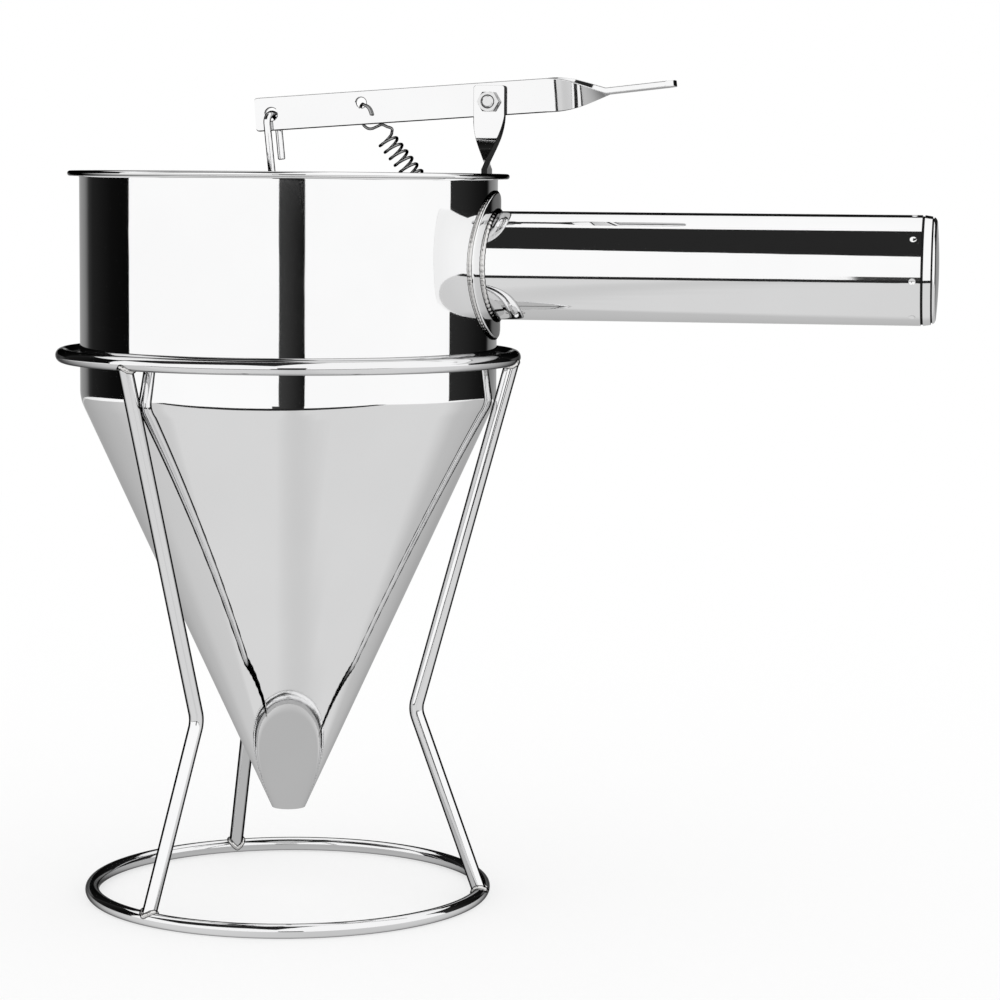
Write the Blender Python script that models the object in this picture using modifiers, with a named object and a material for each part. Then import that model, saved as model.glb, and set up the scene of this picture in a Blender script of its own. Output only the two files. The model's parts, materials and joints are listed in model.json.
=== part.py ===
"""Lever funnel of polished stainless steel, resting in a wire stand.

Each separate piece of the real object is one closed mesh. X runs from the funnel's axis
towards the handle, Y across it and Z up from the floor. Lengths are in metres.
"""

import math

import bmesh
import bpy
from mathutils import Vector

mm = 0.001

# Fits
CLEARANCE = 0.3 * mm
CUT_OVERRUN = 3 * mm
MERGE_DISTANCE = 0.01 * mm

# Funnel: one sheet, a cylinder over a cone, with a rim turned out and hemmed
SHEET = 0.8 * mm
BOWL_DIAMETER = 142 * mm
RIM_OVERHANG = 4 * mm
RIM_THICKNESS = 1.8 * mm
RIM_HEM = 2.0 * mm
RIM_ROOT_RADIUS = 1.8 * mm
BOWL_HEIGHT = 77 * mm
CONE_HEIGHT = 142 * mm
OUTLET_DIAMETER = 11.5 * mm
SHOULDER_RADIUS = 14 * mm
TIP_ABOVE_FLOOR = 30.2 * mm

# Handle: a tube on a saddle flange, closed by a rounded cap
HANDLE_DIAMETER = 36.5 * mm
HANDLE_WALL = 1.0 * mm
HANDLE_BELOW_RIM = 30.7 * mm
HANDLE_LENGTH = 148.7 * mm
FLANGE_DIAMETER = 49.2 * mm
FLANGE_SHEET = 0.9 * mm
CAP_LENGTH = 5.6 * mm
CAP_EDGE_RADIUS = 2.4 * mm
CAP_DOME = 1.2 * mm
CAP_WALL = 1.0 * mm
CAP_SPIGOT = 7 * mm

# Stand: three bent legs between two rings of the same round wire
STAND_WIRE = 5 * mm
BASE_RING_RADIUS = 67.8 * mm
TOP_RING_HEIGHT = 187 * mm
WAIST_RADIUS = 44.6 * mm
WAIST_HEIGHT = 66 * mm
WAIST_BEND_RADIUS = 9 * mm
LEG_NAMES = ("leg_handle_side", "leg_back", "leg_front")

# Flat strip that the lever and its bracket are made from
STRIP_THICKNESS = 2.0 * mm
LEVER_WIDTH = 11.4 * mm
BRACKET_WIDTH = 10.8 * mm

# Lever, measured along the strip from its pivot hole
PIVOT_ABOVE_RIM = 24.0 * mm
LEVER_SLOPE = math.radians(4.0)
LEVER_HOLE_OFFSET = 1.0 * mm
ROD_ARM = 75.6 * mm
ROD_HOLE_RISE = 0.9 * mm
LEVER_TAIL = 5.6 * mm
SPRING_ARM = 44.3 * mm
SPRING_HOLE_RISE = 2.7 * mm
LEVER_TWIST_START = 18.6 * mm
LEVER_TWIST_LENGTH = 21.2 * mm
PAD_LENGTH = 23 * mm
PAD_SLOPE = math.radians(2.5)

# Bracket, from its top edge down to the tab that holds the spring
BRACKET_ABOVE_PIVOT = 5.5 * mm
BRACKET_LEAN = 0.84 * mm
BRACKET_TWIST_BELOW_PIVOT = 4.8 * mm
BRACKET_TWIST_LENGTH = 17.7 * mm
TAB_BELOW_RIM = 21.1 * mm
TAB_BEND_RADIUS = 2.4 * mm
TAB_HOLE_FROM_STRIP = 4.4 * mm
TAB_HOLE_EDGE = 3.9 * mm

# Pivot bolt and nut
BOLT_DIAMETER = 4 * mm
BOLT_HEAD_DIAMETER = 8 * mm
BOLT_HEAD_HEIGHT = 2.6 * mm
BOLT_HEAD_EDGE = 1.2 * mm
BOLT_END_STAND = 1.0 * mm
BOLT_END_CHAMFER = 0.5 * mm
NUT_ACROSS_FLATS = 6.4 * mm
NUT_THICKNESS = 3.2 * mm
NUT_CHAMFER = 0.5 * mm
NUT_SIDES = 6

# Lift rod: a wire with a hooked top, that leans over to the funnel's axis and runs down it
ROD_WIRE = 2.5 * mm
ROD_HOLE_DIAMETER = 4.4 * mm
HOOK_REACH_ALONG = 1.3 * mm
HOOK_REACH_ACROSS = 2.7 * mm
HOOK_TAIL = 12.5 * mm
ROD_BEND_BELOW_HOLE = 80 * mm

# Stopper: a turned plug that seats in the cone over the outlet
STOPPER_NOSE = 0.6 * mm
STOPPER_SEAT_HEIGHT = 8 * mm
STOPPER_CROWN_RADIUS = 5 * mm
STOPPER_NECK_DIAMETER = 6.4 * mm
STOPPER_NECK_HEIGHT = 4 * mm
STOPPER_BORE_DEPTH = 9 * mm

# Return spring: a coil between two open hooks
SPRING_WIRE = 1.0 * mm
SPRING_DIAMETER = 7.2 * mm
SPRING_UPPER_HOLE = 3.6 * mm
SPRING_LOWER_HOLE = 2.6 * mm
SPRING_COILS = 13
SPRING_SIDE_STEP = 0.8 * mm
UPPER_SHANK = 14.4 * mm
LOWER_SHANK = 3.6 * mm
LOWER_RUN_IN = 2.4 * mm
LOWER_HOOK_SWEEP = math.radians(235)

# Upper hook, from its free end through the lever's hole and behind the lever to the coil:
# shares of the coil's radius along it and out to its lower side, and of the room beside the lever
UPPER_HOOK_SHARES = (
    (1.70, -0.13, -1.00),
    (0.86, -0.37, -1.00),
    (0.16, -0.15, -0.86),
    (-0.03, 0.03, 0.00),
    (-0.06, 0.40, 0.86),
    (0.42, 1.02, 1.00),
    (1.50, 1.39, 1.00),
    (2.22, 1.29, 1.00),
    (2.58, 0.93, 1.00),
    (2.74, 0.42, 1.00),
    (2.95, -0.23, 0.95),
    (3.50, -0.56, 0.90),
    (4.02, -0.84, 0.80),
)

# Steel, as brightness and roughness
POLISHED_SHEET = (0.80, 0.06)
WELDED_SHEET = (0.78, 0.09)
POLISHED_STRIP = (0.78, 0.12)
BRIGHT_WIRE = (0.76, 0.11)
TURNED_STEEL = (0.68, 0.18)
SPRING_STEEL = (0.62, 0.25)

# Facets
FUNNEL_STEPS = 72
HANDLE_STEPS = 56
TURNED_STEPS = 32
WIRE_SIDES = 12
ARC_STEPS = 5
TWIST_STEPS = 12
HOLE_SIDES = 32
COIL_POINTS = 9
HOOK_POINTS = 7
ROUTE_STEPS = 2

# Turns
HALF_TURN = math.pi
QUARTER_TURN = math.pi / 2
FACE_X = (0, QUARTER_TURN, 0)
FACE_NEAR_SIDE = (QUARTER_TURN, 0, 0)
FACE_UP = (0, 0, 0)
SHARP_CORNER = math.radians(35)

# Funnel radii and heights that the other pieces seat on
bowl_radius = BOWL_DIAMETER / 2
bowl_inner_radius = bowl_radius - SHEET
rim_radius = bowl_radius + RIM_OVERHANG
outlet_radius = OUTLET_DIAMETER / 2
shoulder_height = TIP_ABOVE_FLOOR + CONE_HEIGHT
rim_height = shoulder_height + BOWL_HEIGHT
cone_angle = math.atan2(bowl_radius - outlet_radius, CONE_HEIGHT)
cone_sheet_across = SHEET / math.cos(cone_angle)
shoulder_centre = (
    bowl_radius - SHOULDER_RADIUS,
    shoulder_height + SHOULDER_RADIUS * math.tan(cone_angle / 2),
)
handle_height = rim_height - HANDLE_BELOW_RIM
handle_end = bowl_radius + HANDLE_LENGTH
flange_radius = bowl_radius + CLEARANCE
handle_root_radius = flange_radius + FLANGE_SHEET + CLEARANCE

# The bracket stands flat against the bowl's inner wall, on the near side of the lever
bracket_across = STRIP_THICKNESS + CLEARANCE
bracket_far_edge = bracket_across + BRACKET_WIDTH / 2
wall_at_far_edge = math.sqrt(bowl_inner_radius ** 2 - bracket_far_edge ** 2)
bracket_along = wall_at_far_edge - CLEARANCE - STRIP_THICKNESS / 2
tab_height = rim_height - TAB_BELOW_RIM
tab_hole_along = bracket_along - STRIP_THICKNESS / 2 - TAB_HOLE_FROM_STRIP
tab_edge_along = tab_hole_along - TAB_HOLE_EDGE

# The bracket leans out to the pivot, and the lever's holes are on the sloping strip
pivot = Vector((bracket_along + BRACKET_LEAN, 0, rim_height + PIVOT_ABOVE_RIM))
lever_forward = Vector((math.cos(LEVER_SLOPE), 0, math.sin(LEVER_SLOPE)))
lever_up = Vector((-math.sin(LEVER_SLOPE), 0, math.cos(LEVER_SLOPE)))
rod_hole = pivot - lever_forward * ROD_ARM + lever_up * ROD_HOLE_RISE
spring_hole = pivot - lever_forward * SPRING_ARM + lever_up * SPRING_HOLE_RISE

# Each leg runs up from the waist so that it touches the funnel's rounded shoulder
leg_reach = SHOULDER_RADIUS + STAND_WIRE / 2 + CLEARANCE
shoulder_out = shoulder_centre[0] - WAIST_RADIUS
shoulder_up = shoulder_centre[1] - WAIST_HEIGHT
shoulder_distance = math.hypot(shoulder_out, shoulder_up)
leg_angle = math.atan2(shoulder_out, shoulder_up) + math.asin(leg_reach / shoulder_distance)
leg_slope = math.tan(leg_angle)
top_ring_radius = WAIST_RADIUS + (TOP_RING_HEIGHT - STAND_WIRE / 2 - WAIST_HEIGHT) * leg_slope
leg_top_height = TOP_RING_HEIGHT - STAND_WIRE / 4

# A ring's wire stands on a facet, so it is a little lower and narrower than a true circle
wire_facet = math.pi / WIRE_SIDES
ring_half_wire = STAND_WIRE / 2 * math.cos(wire_facet)
base_ring_height = ring_half_wire
foot_angle = math.atan2(BASE_RING_RADIUS - WAIST_RADIUS, WAIST_HEIGHT - base_ring_height)

# The origin is on the floor, under the middle of the whole length
length_middle = (handle_end - top_ring_radius - ring_half_wire) / 2


def clear_scene():
    """Remove every object that the scene starts with."""
    for existing in list(bpy.data.objects):
        bpy.data.objects.remove(existing, do_unlink=True)


def new_collection(name):
    """Add a collection to the scene."""
    collection = bpy.data.collections.new(name)
    bpy.context.scene.collection.children.link(collection)
    return collection


def add_object(name, data, parent=None, collection=None):
    """Put a mesh, a curve or an empty into the scene."""
    added = bpy.data.objects.new(name, data)
    (collection or pieces).objects.link(added)
    added.parent = parent
    return added


def add_empty(name, location, parent=None):
    """Add an empty that carries pieces, on their joint's axis if they move."""
    empty = add_object(name, None, parent)
    empty.location = location
    return empty


def steel(piece, finish):
    """Give a piece its own stainless steel, from bright polish to plain wire."""
    brightness, roughness = finish
    material = bpy.data.materials.new(piece.name + "_steel")
    material.use_nodes = True
    shader = material.node_tree.nodes["Principled BSDF"]
    shader.inputs["Base Color"].default_value = (brightness, brightness, brightness, 1)
    shader.inputs["Metallic"].default_value = 1
    shader.inputs["Roughness"].default_value = roughness
    piece.data.materials.append(material)


def smooth(piece):
    """Shade a piece smooth and keep its real corners sharp."""
    for polygon in piece.data.polygons:
        polygon.use_smooth = True
    piece.data.set_sharp_from_angle(angle=SHARP_CORNER)


def arc(centre, radius, start, end, steps=ARC_STEPS):
    """Points on a circle from one angle to another."""
    angles = [start + (end - start) * step / steps for step in range(steps + 1)]
    return [(centre[0] + radius * math.cos(a), centre[1] + radius * math.sin(a)) for a in angles]


def turned(name, outline, parent=None, closed=False, steps=TURNED_STEPS, collection=None):
    """Turn an outline of radius and height about Z, open at the axis or closed as a ring."""
    mesh = bpy.data.meshes.new(name)
    count = len(outline)
    edges = [(index, index + 1) for index in range(count - 1)]
    if closed:
        edges.append((count - 1, 0))
    mesh.from_pydata([(radius, 0, height) for radius, height in outline], edges, [])
    piece = add_object(name, mesh, parent, collection)
    screw = piece.modifiers.new("Turn", "SCREW")
    screw.steps = steps
    screw.render_steps = steps
    screw.use_smooth_shade = True
    screw.use_merge_vertices = True
    screw.merge_threshold = MERGE_DISTANCE
    return piece


def to_mesh(drawn):
    """Swap a curve object for a welded mesh in the same place."""
    bpy.context.view_layer.update()
    graph = bpy.context.evaluated_depsgraph_get()
    mesh = bpy.data.meshes.new_from_object(drawn.evaluated_get(graph))
    shape = bmesh.new()
    shape.from_mesh(mesh)
    bmesh.ops.remove_doubles(shape, verts=shape.verts, dist=MERGE_DISTANCE)
    bmesh.ops.recalc_face_normals(shape, faces=shape.faces)
    shape.to_mesh(mesh)
    shape.free()
    name = drawn.name
    parent = drawn.parent
    world = drawn.matrix_world.copy()
    bpy.data.objects.remove(drawn, do_unlink=True)
    mesh.name = name
    piece = add_object(name, mesh, parent)
    bpy.context.view_layer.update()
    piece.matrix_world = world
    return piece


def drawn_curve(name, points, tilts=None):
    """Start a curve that runs straight from point to point."""
    curve = bpy.data.curves.new(name, "CURVE")
    curve.dimensions = "3D"
    curve.twist_mode = "MINIMUM"
    curve.use_fill_caps = True
    spline = curve.splines.new("POLY")
    spline.points.add(len(points) - 1)
    for index, place in enumerate(points):
        spline.points[index].co = (*place, 1)
        if tilts:
            spline.points[index].tilt = tilts[index]
    return curve


def wire(name, points, diameter, parent=None, resolution=4):
    """Draw a round wire along a list of points."""
    curve = drawn_curve(name, points)
    curve.bevel_depth = diameter / 2
    curve.bevel_resolution = resolution
    return to_mesh(add_object(name, curve, parent))


def flat_strip(name, width, points, tilts, parent=None):
    """Draw a flat strip along a list of points, turned by a tilt at each."""
    section = bpy.data.curves.new(name + "_section", "CURVE")
    section.dimensions = "2D"
    outline = section.splines.new("POLY")
    outline.use_cyclic_u = True
    corners = [(-1, -1), (1, -1), (1, 1), (-1, 1)]
    outline.points.add(len(corners) - 1)
    for corner_point, (across, through) in zip(outline.points, corners):
        corner_point.co = (across * width / 2, through * STRIP_THICKNESS / 2, 0, 1)
    section_holder = add_object(name + "_section", section, collection=cutters)
    curve = drawn_curve(name, points, tilts)
    curve.bevel_mode = "OBJECT"
    curve.bevel_object = section_holder
    strip = to_mesh(add_object(name, curve, parent))
    bpy.data.objects.remove(section_holder, do_unlink=True)
    return strip


def cylinder(name, radius, depth, parent=None, sides=HOLE_SIDES, collection=None):
    """Add a plain cylinder, or a prism, centred on its own origin and along Z."""
    mesh = bpy.data.meshes.new(name)
    shape = bmesh.new()
    bmesh.ops.create_cone(
        shape, cap_ends=True, segments=sides, radius1=radius, radius2=radius, depth=depth
    )
    shape.to_mesh(mesh)
    shape.free()
    return add_object(name, mesh, parent, collection)


def combine(piece, tool, operation):
    """Cut or trim a piece with a tool that stays out of the render."""
    tool.hide_render = True
    tool.display_type = "WIRE"
    boolean = piece.modifiers.new(operation.title(), "BOOLEAN")
    boolean.operation = operation
    boolean.solver = "EXACT"
    boolean.object = tool


def drill(piece, diameter, location, facing, depth=STRIP_THICKNESS + CUT_OVERRUN):
    """Cut a round hole through a piece, placed in its parent's axes."""
    cutter = cylinder(piece.name + "_drill", diameter / 2, depth, piece.parent, collection=cutters)
    cutter.location = location
    cutter.rotation_euler = facing
    combine(piece, cutter, "DIFFERENCE")


def cone_inside_radius(height):
    """Inner radius of the funnel's cone at a height above the floor."""
    rise = height - TIP_ABOVE_FLOOR
    return outlet_radius - cone_sheet_across + rise * math.tan(cone_angle)


def make_funnel_body():
    """Draw the bowl, shoulder and cone from one sheet, with its hemmed rim."""
    hem_centre = (rim_radius - RIM_THICKNESS / 2, rim_height - RIM_THICKNESS / 2)
    root_centre = (bowl_radius + RIM_ROOT_RADIUS, rim_height - SHEET - RIM_ROOT_RADIUS)
    hem_root = rim_radius - RIM_HEM
    outline = arc(hem_centre, RIM_THICKNESS / 2, QUARTER_TURN, -QUARTER_TURN)
    outline += [(hem_root, rim_height - RIM_THICKNESS), (hem_root, rim_height - SHEET)]
    outline += arc(root_centre, RIM_ROOT_RADIUS, QUARTER_TURN, HALF_TURN)
    outline += arc(shoulder_centre, SHOULDER_RADIUS, 0, -cone_angle)
    outline += [(outlet_radius, TIP_ABOVE_FLOOR), (outlet_radius - cone_sheet_across, TIP_ABOVE_FLOOR)]
    outline += arc(shoulder_centre, SHOULDER_RADIUS - SHEET, -cone_angle, 0)
    outline += arc(root_centre, RIM_ROOT_RADIUS + SHEET, HALF_TURN, QUARTER_TURN)
    body = turned("funnel_body", outline, assembly, closed=True, steps=FUNNEL_STEPS)
    steel(body, POLISHED_SHEET)


def make_handle_flange():
    """Trim a round disc out of a sheet that is curved like the bowl."""
    half_height = FLANGE_DIAMETER / 2 + CUT_OVERRUN
    outer = flange_radius + FLANGE_SHEET
    sheet = [
        (outer, half_height),
        (outer, -half_height),
        (flange_radius, -half_height),
        (flange_radius, half_height),
    ]
    flange = turned("handle_flange", sheet, assembly, closed=True, steps=FUNNEL_STEPS)
    flange.location.z = handle_height
    disc = cylinder("handle_flange_trim", FLANGE_DIAMETER / 2, bowl_radius, assembly, HANDLE_STEPS, cutters)
    disc.rotation_euler = FACE_X
    disc.location = (bowl_radius, 0, handle_height)
    combine(flange, disc, "INTERSECT")
    steel(flange, WELDED_SHEET)


def make_handle_tube():
    """Cope the handle's tube to the flange."""
    outer = HANDLE_DIAMETER / 2
    inner = outer - HANDLE_WALL
    length = handle_end - CAP_LENGTH
    tube = turned(
        "handle_tube",
        [(outer, length), (outer, 0), (inner, 0), (inner, length)],
        assembly,
        closed=True,
        steps=HANDLE_STEPS,
    )
    tube.rotation_euler = FACE_X
    tube.location.z = handle_height
    bowl = cylinder("handle_tube_cope", handle_root_radius, BOWL_DIAMETER, assembly, FUNNEL_STEPS, cutters)
    bowl.location.z = handle_height
    combine(tube, bowl, "DIFFERENCE")
    steel(tube, POLISHED_SHEET)


def make_handle_end_cap():
    """Turn the hollow cap, with its domed end and the spigot inside the tube."""
    outer = HANDLE_DIAMETER / 2
    spigot = outer - HANDLE_WALL - CLEARANCE
    bore = spigot - CAP_WALL
    seam = CLEARANCE
    edge_top = CAP_LENGTH - CAP_DOME
    edge_centre = (outer - CAP_EDGE_RADIUS, edge_top - CAP_EDGE_RADIUS)
    dome_half_width = edge_centre[0]
    dome_radius = (dome_half_width ** 2 + CAP_DOME ** 2) / (2 * CAP_DOME)
    dome_angle = math.asin(dome_half_width / dome_radius)
    dome_centre = (0, CAP_LENGTH - dome_radius)
    outline = arc(dome_centre, dome_radius, QUARTER_TURN, QUARTER_TURN - dome_angle)
    outline += arc(edge_centre, CAP_EDGE_RADIUS, QUARTER_TURN, 0)[1:]
    outline += [(outer, seam), (spigot, seam), (spigot, -CAP_SPIGOT), (bore, -CAP_SPIGOT)]
    outline += [(bore, edge_top - CAP_WALL), (0, edge_top - CAP_WALL)]
    cap = turned("handle_end_cap", outline, assembly, steps=HANDLE_STEPS)
    cap.rotation_euler = FACE_X
    cap.location = (handle_end - CAP_LENGTH, 0, handle_height)
    steel(cap, WELDED_SHEET)


def make_bracket():
    """Twist the strip a quarter turn and bend its lower end into a tab."""
    top = pivot.z + BRACKET_ABOVE_PIVOT
    twist_top = pivot.z - BRACKET_TWIST_BELOW_PIVOT
    shares = [step / TWIST_STEPS for step in range(TWIST_STEPS + 1)]
    bend_centre = (bracket_along - TAB_BEND_RADIUS, tab_height + TAB_BEND_RADIUS)
    places = [(pivot.x, top)]
    places += [
        (pivot.x - share * BRACKET_LEAN, twist_top - share * BRACKET_TWIST_LENGTH) for share in shares
    ]
    places += arc(bend_centre, TAB_BEND_RADIUS, 0, -QUARTER_TURN)
    places.append((tab_edge_along, tab_height))
    turns = [0] + [share * QUARTER_TURN for share in shares]
    turns += [QUARTER_TURN] * (len(places) - len(turns))
    points = [(along, -bracket_across, height) for along, height in places]
    bracket = flat_strip("lever_bracket", BRACKET_WIDTH, points, turns, assembly)
    hole = BOLT_DIAMETER + 2 * CLEARANCE
    drill(bracket, hole, (pivot.x, -bracket_across, pivot.z), FACE_NEAR_SIDE)
    drill(bracket, SPRING_LOWER_HOLE, (tab_hole_along, -bracket_across, tab_height), FACE_UP)
    steel(bracket, POLISHED_STRIP)


def make_lever():
    """Twist the lever's strip a quarter turn, so that its end is a flat thumb pad."""
    shares = [step / TWIST_STEPS for step in range(TWIST_STEPS + 1)]
    pad_start = LEVER_TWIST_START + LEVER_TWIST_LENGTH
    points = [(-ROD_ARM - LEVER_TAIL, 0, LEVER_HOLE_OFFSET)]
    points += [(LEVER_TWIST_START + share * LEVER_TWIST_LENGTH, 0, LEVER_HOLE_OFFSET) for share in shares]
    points.append(
        (
            pad_start + PAD_LENGTH * math.cos(PAD_SLOPE),
            0,
            LEVER_HOLE_OFFSET + PAD_LENGTH * math.sin(PAD_SLOPE),
        )
    )
    turns = [-QUARTER_TURN] + [(share - 1) * QUARTER_TURN for share in shares] + [0]
    lever = flat_strip("lever", LEVER_WIDTH, points, turns, lever_joint)
    drill(lever, BOLT_DIAMETER + 2 * CLEARANCE, (0, 0, 0), FACE_NEAR_SIDE)
    drill(lever, ROD_HOLE_DIAMETER, (-ROD_ARM, 0, ROD_HOLE_RISE), FACE_NEAR_SIDE)
    drill(lever, SPRING_UPPER_HOLE, (-SPRING_ARM, 0, SPRING_HOLE_RISE), FACE_NEAR_SIDE)
    steel(lever, POLISHED_STRIP)


def make_pivot():
    """Turn the bolt, with its head on the far side of the lever, and make its nut."""
    nut_start = bracket_across + STRIP_THICKNESS / 2 + CLEARANCE
    nut_end = nut_start + NUT_THICKNESS
    bolt_end = nut_end + BOLT_END_STAND
    head_start = STRIP_THICKNESS / 2 + CLEARANCE
    shank = BOLT_DIAMETER / 2
    head = BOLT_HEAD_DIAMETER / 2
    edge_centre = (head - BOLT_HEAD_EDGE, -head_start - BOLT_HEAD_HEIGHT + BOLT_HEAD_EDGE)
    outline = [(0, bolt_end), (shank - BOLT_END_CHAMFER, bolt_end), (shank, bolt_end - BOLT_END_CHAMFER)]
    outline += [(shank, -head_start), (head, -head_start)]
    outline += arc(edge_centre, BOLT_HEAD_EDGE, 0, -QUARTER_TURN)
    outline.append((0, -head_start - BOLT_HEAD_HEIGHT))
    bolt = turned("pivot_bolt", outline, assembly)
    bolt.location = pivot
    bolt.rotation_euler = FACE_NEAR_SIDE
    steel(bolt, TURNED_STEEL)

    flat_to_corner = math.cos(math.pi / NUT_SIDES)
    corner = NUT_ACROSS_FLATS / 2 / flat_to_corner
    nut = cylinder("pivot_nut", corner, NUT_THICKNESS, assembly, NUT_SIDES)
    nut.location = pivot + Vector((0, -nut_start - NUT_THICKNESS / 2, 0))
    nut.rotation_euler = FACE_NEAR_SIDE
    half = NUT_THICKNESS / 2
    rounding = [
        (0, half),
        (NUT_ACROSS_FLATS / 2, half),
        (corner + CUT_OVERRUN * flat_to_corner, half - NUT_CHAMFER - CUT_OVERRUN * flat_to_corner),
        (corner + CUT_OVERRUN * flat_to_corner, -half - CUT_OVERRUN),
        (0, -half - CUT_OVERRUN),
    ]
    trim = turned("pivot_nut_rounding", rounding, assembly, collection=cutters)
    trim.location = nut.location
    trim.rotation_euler = FACE_NEAR_SIDE
    combine(nut, trim, "INTERSECT")
    drill(nut, BOLT_DIAMETER + 2 * CLEARANCE, nut.location, FACE_NEAR_SIDE, NUT_THICKNESS + CUT_OVERRUN)
    steel(nut, TURNED_STEEL)


def make_stopper():
    """Turn the plug to the cone's own taper, with a bore for the rod."""
    nose = TIP_ABOVE_FLOOR
    seat_top = nose + STOPPER_SEAT_HEIGHT
    gap_across = CLEARANCE / math.cos(cone_angle)
    seat_radius = cone_inside_radius(seat_top) - gap_across
    nose_radius = cone_inside_radius(nose) - gap_across
    bore = ROD_WIRE / 2 + CLEARANCE
    neck = STOPPER_NECK_DIAMETER / 2
    crown_width = seat_radius - neck
    crown = [
        (neck + crown_width * math.sin(a), seat_top + STOPPER_CROWN_RADIUS * math.cos(a))
        for a in [QUARTER_TURN * step / ARC_STEPS for step in range(ARC_STEPS + 1)]
    ]
    neck_top = seat_top + STOPPER_CROWN_RADIUS + STOPPER_NECK_HEIGHT
    bore_bottom = neck_top - STOPPER_BORE_DEPTH
    outline = [(0, bore_bottom), (bore, bore_bottom), (bore, neck_top), (neck, neck_top)]
    outline += crown
    outline += [
        (cone_inside_radius(nose + STOPPER_NOSE) - gap_across, nose + STOPPER_NOSE),
        (nose_radius - STOPPER_NOSE, nose),
        (0, nose),
    ]
    stopper = turned("stopper", [(r, h - rod_hole.z) for r, h in outline], rod_joint)
    stopper.location.x = -rod_hole.x
    steel(stopper, TURNED_STEEL)
    return bore_bottom + CLEARANCE


def make_lift_rod(rod_bottom):
    """Bend the rod's wire over at the top, lean it to the axis and run it into the stopper."""
    hook_radius = math.hypot(HOOK_REACH_ALONG, HOOK_REACH_ACROSS)
    lean = math.atan2(HOOK_REACH_ALONG - rod_hole.x, ROD_BEND_BELOW_HOLE - hook_radius)
    reach = Vector((HOOK_REACH_ALONG * math.cos(lean), HOOK_REACH_ACROSS, HOOK_REACH_ALONG * math.sin(lean)))
    hang = Vector((math.sin(lean), 0, -math.cos(lean)))
    sweep = [HALF_TURN * step / HOOK_POINTS / 2 for step in range(2 * HOOK_POINTS + 1)]
    hook = [rod_hole + reach * math.cos(a) + hang * hook_radius * (1 - math.sin(a)) for a in sweep]
    tail_end = hook[0] + hang * HOOK_TAIL
    bend = Vector((0, 0, rod_hole.z - ROD_BEND_BELOW_HOLE))
    route = [tail_end] + hook + [bend, Vector((0, 0, rod_bottom))]
    rod = wire("lift_rod", [place - rod_hole for place in route], ROD_WIRE, rod_joint, resolution=3)
    steel(rod, BRIGHT_WIRE)


def smooth_route(places, steps):
    """Put more points between the places of a route, on a curve that passes through them all."""
    before = [places[0] * 2 - places[1]] + places[:-1]
    after = places[1:] + [places[-1] * 2 - places[-2]]
    slopes = [(b - a) / 2 for a, b in zip(before, after)]
    route = []
    for index in range(len(places) - 1):
        start, end = places[index], places[index + 1]
        for step in range(steps):
            t = step / steps
            bend_start = slopes[index] * (t * (1 - t) ** 2)
            bend_end = slopes[index + 1] * (t ** 2 * (1 - t))
            ease = t * t * (3 - 2 * t)
            route.append(start * (1 - ease) + end * ease + bend_start - bend_end)
    return route + [places[-1]]


def spring_route():
    """Follow the spring's wire from its upper open hook to its lower one."""
    radius = (SPRING_DIAMETER - SPRING_WIRE) / 2
    upper_seat = (SPRING_UPPER_HOLE - SPRING_WIRE) / 2 - 2 * CLEARANCE
    lower_seat = (SPRING_LOWER_HOLE - SPRING_WIRE) / 2 - 2 * CLEARANCE
    beside = (STRIP_THICKNESS + SPRING_WIRE) / 2 + 2 * CLEARANCE
    tab_hole = Vector((tab_hole_along, -bracket_across, tab_height))
    lower_centre = tab_hole - Vector((lower_seat + radius, 0, 0))
    pull = (lower_centre - spring_hole).normalized()
    side_step = Vector((pull.z, 0, -pull.x)) * SPRING_SIDE_STEP
    coil_axis = spring_hole + side_step
    down = (lower_centre - coil_axis).normalized()
    across = (Vector((0, 1, 0)) - down * down.y).normalized()
    over = across.cross(down)

    def lower_hook(angle):
        return lower_centre + radius * (over * math.cos(angle) + down * math.sin(angle))

    upper = [
        spring_hole + down * (upper_seat + along * radius) + over * side * radius + across * depth * beside
        for along, side, depth in UPPER_HOOK_SHARES
    ]
    lower = [lower_hook(LOWER_HOOK_SWEEP * step / HOOK_POINTS) for step in range(HOOK_POINTS + 1)]
    lower_end = lower[-1] + (lower[-1] - lower[-2]).normalized() * SPRING_WIRE

    coil_end = (lower_centre - coil_axis).length - LOWER_SHANK
    whole_turn = 2 * math.pi
    first_turn = -QUARTER_TURN / 2
    turning = whole_turn * SPRING_COILS + QUARTER_TURN - first_turn
    pitch = (coil_end - UPPER_SHANK - LOWER_RUN_IN / 2) * whole_turn / turning
    run_in_turn = math.pi * LOWER_RUN_IN / pitch
    count = round(turning / whole_turn * COIL_POINTS)
    coil = []
    for step in range(count + 1):
        turned_by = turning * step / count
        left = turning - turned_by
        if left < run_in_turn:
            along = coil_end - LOWER_RUN_IN * math.sqrt(left / run_in_turn)
        else:
            along = UPPER_SHANK + turned_by * pitch / whole_turn
        turn = first_turn + turned_by
        around = across * math.cos(turn) + over * math.sin(turn)
        coil.append(coil_axis + down * along + around * radius)
    return smooth_route(upper + [coil[0]], ROUTE_STEPS) + coil[1:] + lower + [lower_end]


def least_gap(route, diameter):
    """Least clear distance between stretches of a wire that aren't neighbours."""
    neighbours = COIL_POINTS // 2 + 1
    gap = math.inf
    for first in range(len(route) - 1):
        for second in range(first + neighbours, len(route) - 1):
            middle_first = (route[first] + route[first + 1]) / 2
            middle_second = (route[second] + route[second + 1]) / 2
            places = [(route[first], route[second]), (middle_first, middle_second)]
            places.append((route[first], middle_second))
            gap = min([gap] + [(a - b).length - diameter for a, b in places])
    return gap


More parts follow.
